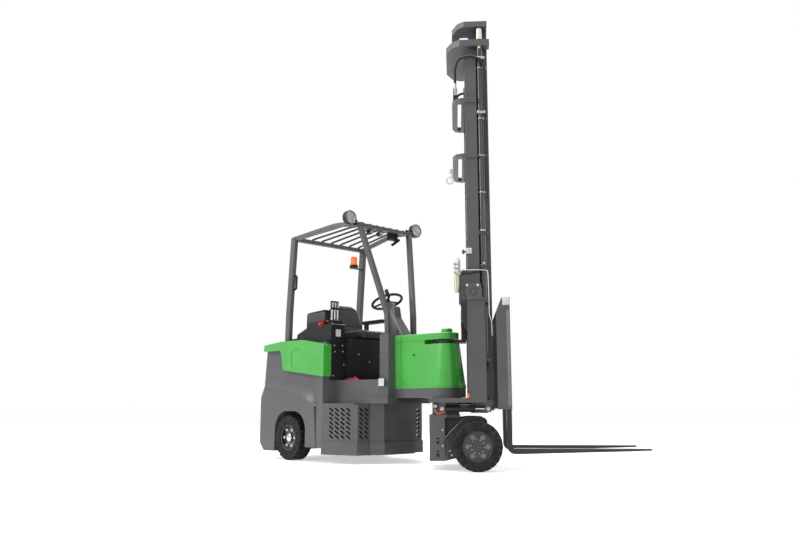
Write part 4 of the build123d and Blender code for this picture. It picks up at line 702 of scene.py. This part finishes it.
def body_dressing():
    """The step's tread, groove and grille backing, the body's fasteners and the covers' pockets; the groove and
    the grille backing are black pieces that are painted shade.
    """
    pad = slab(0.30, 0.05, 0.004, 0.001)
    pick(pad, top)
    bpy.ops.mesh.subdivide(number_cuts=9)
    bpy.ops.mesh.inset(thickness=0.0015, depth=0.0012, use_individual=True)
    fit("step_tread", copies(leave(pad), [facing("up", -0.86, -0.445, 0.547)]), "chassis", "black_panel")
    plug = press(begin("cylinder", vertices=28, radius=0.0095, depth=0.005, location=(0, 0, 0)),
                 (0.002, 0.001), (0.003, -0.002))
    fit("nose_plug", copies(plug, [facing("right", -0.273, -0.158, 0.985)]), "chassis", "black_panel")
    rear = [facing("back", -2.131 + 0.0927 * (z - 0.72), y, z) for y in (-0.45, 0.45) for z in (0.95, 1.06)]
    fit("rear_plugs", copies(hex_bolt(0.014, 0.009), rear), "chassis", "nut")
    hood = [facing("up", x, y, 1.2205) for x in (-1.90, -1.70) for y in (-0.39, 0.39)]
    fit("hood_screws", copies(dome_bolt(0.009, 0.006), hood), "chassis", "zinc")
    for name, side in (("right", -1), ("left", 1)):
        pocket = sized(begin("cube", size=1), 0.218, 0.222, 0.012)
        bpy.ops.object.mode_set(mode="EDIT")
        bpy.ops.mesh.select_mode(type="EDGE")
        bpy.ops.mesh.select_all(action="DESELECT")
        shape = bmesh.from_edit_mesh(pocket.data)
        for edge in shape.edges:
            edge.select_set(abs(edge.verts[0].co.z - edge.verts[1].co.z) > 0.006)
        bmesh.update_edit_mesh(pocket.data)
        bpy.ops.mesh.bevel(offset=0.055, segments=6)
        leave(pocket)
        press(pocket, (0.004, 0.0), (0.009, -0.008), (0.012, -0.0005))
        place = facing(name, -1.4875, side * 0.6, 0.985)
        fit(f"cover_pocket_{name}", copies(pocket, [place]), "chassis", "green_cover")
    # A black box behind the step box's grilles: painted shade seen through the slots.
    backing = sized(begin("cube", size=1), 0.34, 0.84, 0.31)
    pick(backing, lambda middle, way: way.x > 0.9)
    bpy.ops.transform.resize(value=(1, 0.66, 1))
    bpy.ops.mesh.extrude_region_move(TRANSFORM_OT_translate={"value": (0.075, 0, 0)})
    bpy.ops.transform.resize(value=(1, 0.68, 1))
    leave(backing)
    for vertex in backing.data.vertices:
        vertex.co.y *= 0.78 if vertex.co.y > 0 else 1
    fit("grille_backing", copies(eased(backing, 0.003), [facing("up", -0.885, 0, 0.37)]), "chassis",
        "black_panel")
    # A black strip in the step's groove: painted shade in the groove.
    groove = press(slab(0.012, 0.126, 0.002, 0.0008), (0.003, -0.001))
    place = facing("right", -0.6215, -0.012, 0.486) @ Matrix.Rotation(radians(90), 4, "Y")
    fit("step_groove", copies(groove, [place]), "chassis", "nut")


# Front unit and mast

TIES = (3.558, 3.073, 2.726, 2.386)
CLAMPS = (3.651, 3.128)
CYLINDER_X, CYLINDER_Y = 0.328, 0.366
TILT_PIN_X, TILT_PIN_Z = 0.235, 1.49
TILT_ANCHOR_X, TILT_EYE_X, TILT_Z = -0.043, 0.344, 0.505
TILT_SIDE_Y = 0.396
FENDER_BENDS = ((-0.018, 0.12), (-0.018, 0.262), (0.147, 0.426), (0.303, 0.426), (0.332, 0.392))
AXLE_BOLTS = ((0.036, 0.126), (-0.04, 0.20), (-0.04, 0.33), (0.02, 0.16))


def mast_tie():
    """A flat band round a lift cylinder and the hose beside it."""
    tie = begin("cylinder", vertices=36, radius=0.0275, depth=0.008, location=(0, 0, 0))
    pick(tie, lambda middle, way: middle.x > 0.006 and abs(way.z) < 0.5)
    bpy.ops.transform.resize(value=(1, 0.5, 1), center_override=(0, 0, 0))
    bpy.ops.transform.translate(value=(0.031, 0, 0))
    leave(tie)
    return eased(tie, 0.001, 1)


def mast_dressing():
    """The ties, rings, clamps, valves and small fittings on the outer mast, and the sleeves at its top."""
    places = [facing("up", CYLINDER_X, -CYLINDER_Y, z) for z in TIES]
    fit("mast_ties_right", copies(mast_tie(), places), "outer_mast", "enamel")
    low = [facing("up", CYLINDER_X, y, 2.042) for y in (-CYLINDER_Y, CYLINDER_Y)]
    ring = begin("torus", major_radius=0.0265, minor_radius=0.003, major_segments=36, minor_segments=8)
    fit("mast_rings", copies(sized(ring, 1, 1, 1.7), low), "outer_mast", "enamel")
    for name, side in (("right", -1), ("left", 1)):
        clasp = slab(0.076, 0.016, 0.026, 0.003)
        fit(f"clamp_plates_{name}", copies(clasp, [facing("up", 0.334, side * 0.388, z) for z in CLAMPS]),
            "outer_mast", "zinc")
        bolts = [facing("right" if side < 0 else "left", x, side * 0.396, z) for x in (0.304, 0.366)
                 for z in CLAMPS]
        fit(f"clamp_bolts_{name}", copies(hex_bolt(0.0065, 0.005), bolts), "outer_mast", "zinc")
        body = slab(0.028, 0.034, 0.085, 0.004)
        port = begin("cylinder", vertices=18, radius=0.013, depth=0.04, location=(0, 0, 0.055))
        press(port, (0.003, 0.002), (0.004, -0.002))
        valve = merged([body, port])
        fit(f"hose_valve_{name}", copies(valve, [facing("up", 0.103, side * 0.359, 3.345)]), "outer_mast",
            "zinc")
    sleeve = press(begin("cylinder", vertices=32, radius=0.0262, depth=0.10, location=(0, 0, 0)),
                   (0.002, 0.001))
    sleeves = copies(sleeve, [facing("up", CYLINDER_X, y, 3.89) for y in (-0.365, 0.365)])
    fit("stop_sleeves", sleeves, "intermediate_mast", "pipe")
    button = slab(0.05, 0.05, 0.004, 0.0015)
    petal = press(begin("cylinder", vertices=16, radius=0.012, depth=0.008, location=(0, 0, 0.004)),
                  (0.003, 0.002))
    petals = copies(petal, [facing("up", x, y, 0.001) for x in (-0.012, 0.012) for y in (-0.012, 0.012)])
    fit("rail_fitting", copies(merged([button] + petals), [facing("right", 0.205, -0.392, 1.858)]),
        "outer_mast", "enamel")
    knob = press(begin("cylinder", vertices=24, radius=0.02, depth=0.014, location=(0, 0, 0.007)),
                 (0.004, 0.004), (0.002, 0.003))
    stem = begin("cylinder", vertices=12, radius=0.008, depth=0.04, location=(0, 0, -0.018))
    fit("rail_knob", copies(merged([knob, stem]), [facing("back", 0.165, -0.378, 1.852)]), "outer_mast",
        "nut")
    sight = press(begin("cylinder", vertices=18, radius=0.009, depth=0.003, location=(0, 0, 0)),
                  (0.002, -0.001))
    fit("rail_plug", copies(sight, [facing("right", 0.227, -0.3905, 3.30)]), "outer_mast", "nut")


def valve_stack():
    """The lift valves behind the right rail, and the pale pipe over the rail and down by the cylinder."""
    block = slab(0.044, 0.044, 0.13, 0.004)
    rib = begin("cylinder", vertices=24, radius=0.017, depth=0.02, location=(0, 0, 0.01))
    press(rib, (0.004, 0.003), (0.004, 0.004))
    sides = (("right", 0, -0.022), ("back", -0.022, 0))
    ribs = copies(rib, [facing(way, x, y, z) for way, x, y in sides for z in (-0.035, 0.005, 0.042)])
    cap = press(begin("cylinder", vertices=6, radius=0.016, depth=0.022, location=(0, 0, 0.074)),
                (0.003, 0.002))
    arm = slab(0.10, 0.02, 0.012, 0.002)
    arm.location = (0.06, 0.01, -0.03)
    fit("lift_valve", copies(merged([block, cap, arm] + ribs), [facing("up", 0.108, -0.392, 1.705)]),
        "outer_mast", "zinc")
    bowl = begin("cylinder", vertices=32, radius=0.024, depth=0.125, location=(0, 0, -0.0625))
    press(bowl, (0.004, 0.004), (0.004, 0.006))
    foot = press(begin("cylinder", vertices=32, radius=0.019, depth=0.02, location=(0, 0, -0.135)),
                 (0.003, 0.002))
    fit("filter_bowl", copies(merged([bowl, foot]), [facing("up", 0.098, -0.392, 1.635)]), "outer_mast",
        "brass")
    bends = ((0.13, -0.409, 1.684), (0.36, -0.409, 1.677), (0.368, -0.409, 1.30), (0.386, -0.409, 1.235),
             (0.388, -0.409, 1.15))
    pipe_run("pipe_bright", bends, 0.0042, "pipe")
    pipe_run("pipe_foot", ((0.388, -0.404, 1.165), (0.388, -0.404, 1.115)), 0.009, "zinc")
    pipe_run("pipe_crossing", ((0.125, -0.405, 1.655), (0.22, -0.405, 1.66), (0.292, -0.402, 1.672)), 0.008,
             "hose")
    coupling = press(begin("cylinder", vertices=6, radius=0.024, depth=0.05, location=(0, 0, 0)),
                     (0.005, 0.004), (0.005, -0.003))
    collar = press(begin("cylinder", vertices=28, radius=0.028, depth=0.016, location=(0, 0, -0.02)),
                   (0.004, 0.002))
    fit("hose_coupling", copies(merged([coupling, collar]), [facing("right", 0.328, -0.394, 1.715)]),
        "outer_mast", "nut")
    pin = press(begin("cylinder", vertices=20, radius=0.011, depth=0.01, location=(0, 0, 0.005)),
                (0.003, 0.002))
    fit("coupling_pin", copies(pin, [facing("right", 0.332, -0.411, 1.742)]), "outer_mast", "zinc")


def pipe_run(name, points, radius, finish, body="outer_mast"):
    """A bent metal pipe or a short fixed hose through the points."""
    curve = bpy.data.curves.new(name, "CURVE")
    curve.dimensions = "3D"
    curve.bevel_depth, curve.bevel_resolution, curve.resolution_u, curve.use_fill_caps = radius, 3, 6, True
    spline = curve.splines.new("BEZIER")
    spline.bezier_points.add(len(points) - 1)
    for knot, point in zip(spline.bezier_points, points):
        knot.co = point
    ends = [points[0]] + list(points) + [points[-1]]
    for number, knot in enumerate(spline.bezier_points):
        before, here, after = (Vector(ends[number + k]) for k in range(3))
        knot.handle_left_type = knot.handle_right_type = "FREE"
        reach = min((before - here).length or 0.02, (after - here).length or 0.02, 0.03)
        along = (after - before).normalized()
        knot.handle_left, knot.handle_right = here - along * reach * 0.5, here + along * reach * 0.5
    holder = bpy.data.objects.new(name, curve)
    bpy.context.scene.collection.objects.link(holder)
    bpy.ops.object.select_all(action="DESELECT")
    holder.select_set(True)
    bpy.context.view_layer.objects.active = holder
    bpy.ops.object.convert(target="MESH")
    return fit(name, [bpy.context.object], body, finish)


def tower_dressing():
    """Bolts, pins and edges of the towers, the axle frame and the carriage, and the platform's cables."""
    for name, side in (("right", -1), ("left", 1)):
        way = "right" if side < 0 else "left"
        bolts = [facing(way, x, side * 0.462, 1.544) for x in (0.183, 0.274)]
        fit(f"bracket_bolts_{name}", copies(hex_bolt(0.0078, 0.007), bolts), "front_unit", "enamel")
        ring = begin("torus", major_radius=0.029, minor_radius=0.003, major_segments=40, minor_segments=8)
        place = facing(way, TILT_PIN_X, side * 0.4625, TILT_PIN_Z)
        fit(f"tilt_pin_ring_{name}", copies(sized(ring, 1, 1, 0.7), [place]), "front_unit", "nut")
        face = press(begin("cylinder", vertices=36, radius=0.0225, depth=0.003, location=(0, 0, 0.0005)),
                     (0.004, -0.0008))
        fit(f"tilt_pin_face_{name}", copies(face, [facing(way, TILT_PIN_X, side * 0.465, TILT_PIN_Z)]),
            "front_unit", "mast_paint")
        flange = slab(0.148, 0.012, 0.02, 0.003)
        fit(f"bracket_lip_{name}", copies(flange, [facing("up", 0.252, side * 0.4585, 1.43)]), "front_unit",
            "mast_paint")
        low = [facing(way, x, side * 0.385, z) for x, z in AXLE_BOLTS]
        fit(f"axle_bolts_{name}", copies(hex_bolt(0.006, 0.006), low), "front_unit", "zinc")
        inner = sized(begin("cube", size=1), 0.188, 0.006, 0.20)
        place = facing("up", 0.074, side * 0.3465, 0.331)
        fit(f"axle_inner_plate_{name}", copies(eased(inner, 0.002), [place]), "front_unit", "dark_metal")
        pins = copies(dome_bolt(0.012, 0.012), [facing(way, -0.08, side * 0.35, z) for z in (0.142, 0.246)])
        fit(f"slot_pins_{name}", pins, "front_unit", "zinc")
        anchor_head = facing(way, TILT_ANCHOR_X, side * TILT_SIDE_Y, TILT_Z)
        fit(f"tilt_heads_{name}", copies(hex_bolt(0.012, 0.006), [anchor_head]), "front_unit", "zinc")
        eye_head = facing(way, TILT_EYE_X, side * TILT_SIDE_Y, TILT_Z)
        fit(f"tilt_rod_heads_{name}", copies(hex_bolt(0.012, 0.006), [eye_head]), "outer_mast", "zinc")
        edge = side * 0.389
        bends = [(x, edge, z) for x, z in FENDER_BENDS]
        pipe_run(f"fender_edge_{name}", bends, 0.008, "nut", "front_unit")
        strip = slab(0.028, 0.003, 0.80, 0.001)
        fit(f"carriage_edge_{name}", copies(strip, [facing("up", 0.523, side * 0.4578, 0.93)]), "carriage",
            "body_bolt")
        cap = slab(0.064, 0.028, 0.07, 0.006)
        fit(f"carriage_cap_{name}", copies(cap, [facing("up", 0.507, side * 0.4445, 1.404)]), "carriage",
            "enamel")
    tag = press(begin("cylinder", vertices=24, radius=0.012, depth=0.03, location=(0, 0, 0)),
                (0.002, 0.004))
    fit("side_marker", copies(tag, [facing("up", 0.180, -0.460, 0.611)]), "front_unit", "amber")
    bends = ((-0.105, -0.345, 0.50), (-0.09, -0.36, 0.472), (-0.06, -0.372, 0.466), (-0.02, -0.36, 0.474))
    pipe_run("orange_cable", bends, 0.005, "amber", "front_unit")
    for number, z in enumerate((0.548, 0.524, 0.5)):
        bends = ((-0.09, -0.30, z), (0.02, -0.305, z - 0.012), (0.14, -0.30, z + 0.004),
                 (0.30, -0.30, z - 0.008))
        pipe_run(f"platform_hose_{number + 1}", bends, 0.012, "hose", "front_unit")
    block = slab(0.035, 0.02, 0.03, 0.003)
    fit("anchor_block", copies(block, [facing("up", -0.10, -0.338, 0.53)]), "front_unit", "zinc")
    boss = press(begin("cylinder", vertices=24, radius=0.018, depth=0.03, location=(0, 0, 0)),
                 (0.003, 0.003), (0.003, -0.004))
    hook = begin("torus", major_radius=0.03, minor_radius=0.009, major_segments=24, minor_segments=8,
                 location=(-0.004, 0, -0.085), rotation=(radians(90), 0, 0))
    bar = slab(0.02, 0.012, 0.11, 0.003)
    bar.location = (0.014, 0, -0.035)
    fit("strap_hook", copies(merged([boss, hook, bar]), [facing("up", 0.05, -0.33, 2.60)]), "outer_mast",
        "enamel")


def fork_dressing():
    """The forks' latches and the bolts of the fork bar."""
    for name, side in (("right", -1), ("left", 1)):
        body = slab(0.03, 0.022, 0.05, 0.003)
        pin = press(begin("cylinder", vertices=20, radius=0.008, depth=0.03, location=(0, 0, 0.032)),
                    (0.002, 0.002))
        latch = merged([body, pin])
        fit(f"fork_latch_{name}", copies(latch, [facing("up", 0.523, side * 0.279, 0.972)]), "carriage",
            "zinc")
        studs = [facing("ahead", 0.502, side * y, 0.88) for y in (0.12, 0.38)]
        fit(f"fork_bar_bolts_{name}", copies(hex_bolt(0.009, 0.007), studs), "carriage", "nut")


driver_dressing()
body_dressing()
mast_dressing()
valve_stack()
tower_dressing()
fork_dressing()


# Camera, floor and light

CAMERA_AT = Vector((4.811, -4.953, 0.5434))
CAMERA_HEADING = radians(47.697)
CAMERA_PITCH = radians(10.265)
LENS = 34.19
SENSOR_WIDTH = 36
FLOOR_SIZE = 120
LAMPS = (("key", (-3.0, -7.0, 5.5), (-0.2, 0, 1.3), 3.5, 330),
         ("fill", (7.5, -1.0, 3.5), (0.4, 0, 1.6), 5.0, 60),
         ("back", (-5.0, 5.0, 5.0), (0, 0, 1.5), 4.0, 200),
         ("top", (0.3, -1.6, 8.0), (-0.2, -0.3, 1.0), 3.0, 400))


def stage():
    camera = bpy.data.objects.new("camera", bpy.data.cameras.new("camera"))
    bpy.context.scene.collection.objects.link(camera)
    camera.data.sensor_fit = "HORIZONTAL"
    camera.data.sensor_width = SENSOR_WIDTH
    camera.data.lens = LENS
    camera.location = PIVOT + CAMERA_AT
    camera.rotation_euler = (radians(90) + CAMERA_PITCH, 0, CAMERA_HEADING)
    bpy.context.scene.camera = camera
    bpy.ops.object.select_all(action="DESELECT")
    bpy.ops.mesh.primitive_plane_add(size=FLOOR_SIZE, location=(0, 0, -0.0005))
    floor = bpy.context.object
    floor.name = "floor"
    floor.data.materials.append(backdrop_white())
    world_light()
    for name, at, towards, size, power in LAMPS:
        lamp(name, at, towards, size, power)


def backdrop_white():
    """A pale floor that shows as white to the camera, glass and mirrors, and keeps its shadows."""
    finish = Finish("floor_pale", (0.9, 0.9, 0.9), 0.6)
    ground = finish.noise(0.8, 3)
    finish.feed("Base Color", finish.mix(ground, (0.84, 0.84, 0.845), (0.88, 0.88, 0.88)))
    seen = background_ray(finish)
    finish.feed("Emission Color", finish.mix(seen, (0, 0, 0), (0.52, 0.52, 0.52)))
    finish.shader.inputs["Emission Strength"].default_value = 1
    return finish.material


def background_ray(finish):
    """1 where the camera, a mirror or glass sees the background, else 0."""
    rays = [finish.node("ShaderNodeLightPath", {}, {}, f"Is {kind} Ray")
            for kind in ("Camera", "Glossy", "Transmission")]
    return finish.node("ShaderNodeMath", {"operation": "ADD", "use_clamp": True},
                       {0: rays[0] + rays[1], 1: rays[2]})


def world_light():
    world = bpy.data.worlds.new("studio")
    bpy.context.scene.world = world
    world.use_nodes = True
    nodes, links = world.node_tree.nodes, world.node_tree.links
    ray = nodes.new("ShaderNodeLightPath")
    seen = nodes.new("ShaderNodeVectorMath")
    seen.operation = "LENGTH"
    together = nodes.new("ShaderNodeCombineXYZ")
    for number, kind in enumerate(("Camera", "Glossy", "Transmission")):
        links.new(ray.outputs[f"Is {kind} Ray"], together.inputs[number])
    links.new(together.outputs[0], seen.inputs[0])
    strength = nodes.new("ShaderNodeMapRange")
    links.new(seen.outputs["Value"], strength.inputs["Value"])
    strength.inputs["To Min"].default_value = 0.38
    strength.inputs["To Max"].default_value = 1.0
    links.new(strength.outputs[0], nodes["Background"].inputs["Strength"])
    nodes["Background"].inputs["Color"].default_value = (1, 1, 1, 1)


def lamp(name, at, towards, size, power):
    light = bpy.data.lights.new(name, "AREA")
    light.size = size
    light.energy = power
    holder = bpy.data.objects.new(name, light)
    bpy.context.scene.collection.objects.link(holder)
    holder.location = at
    holder.rotation_euler = (Vector(towards) - Vector(at)).to_track_quat("-Z", "Y").to_euler()


stage()
bpy.context.scene.view_settings.view_transform = "Standard"
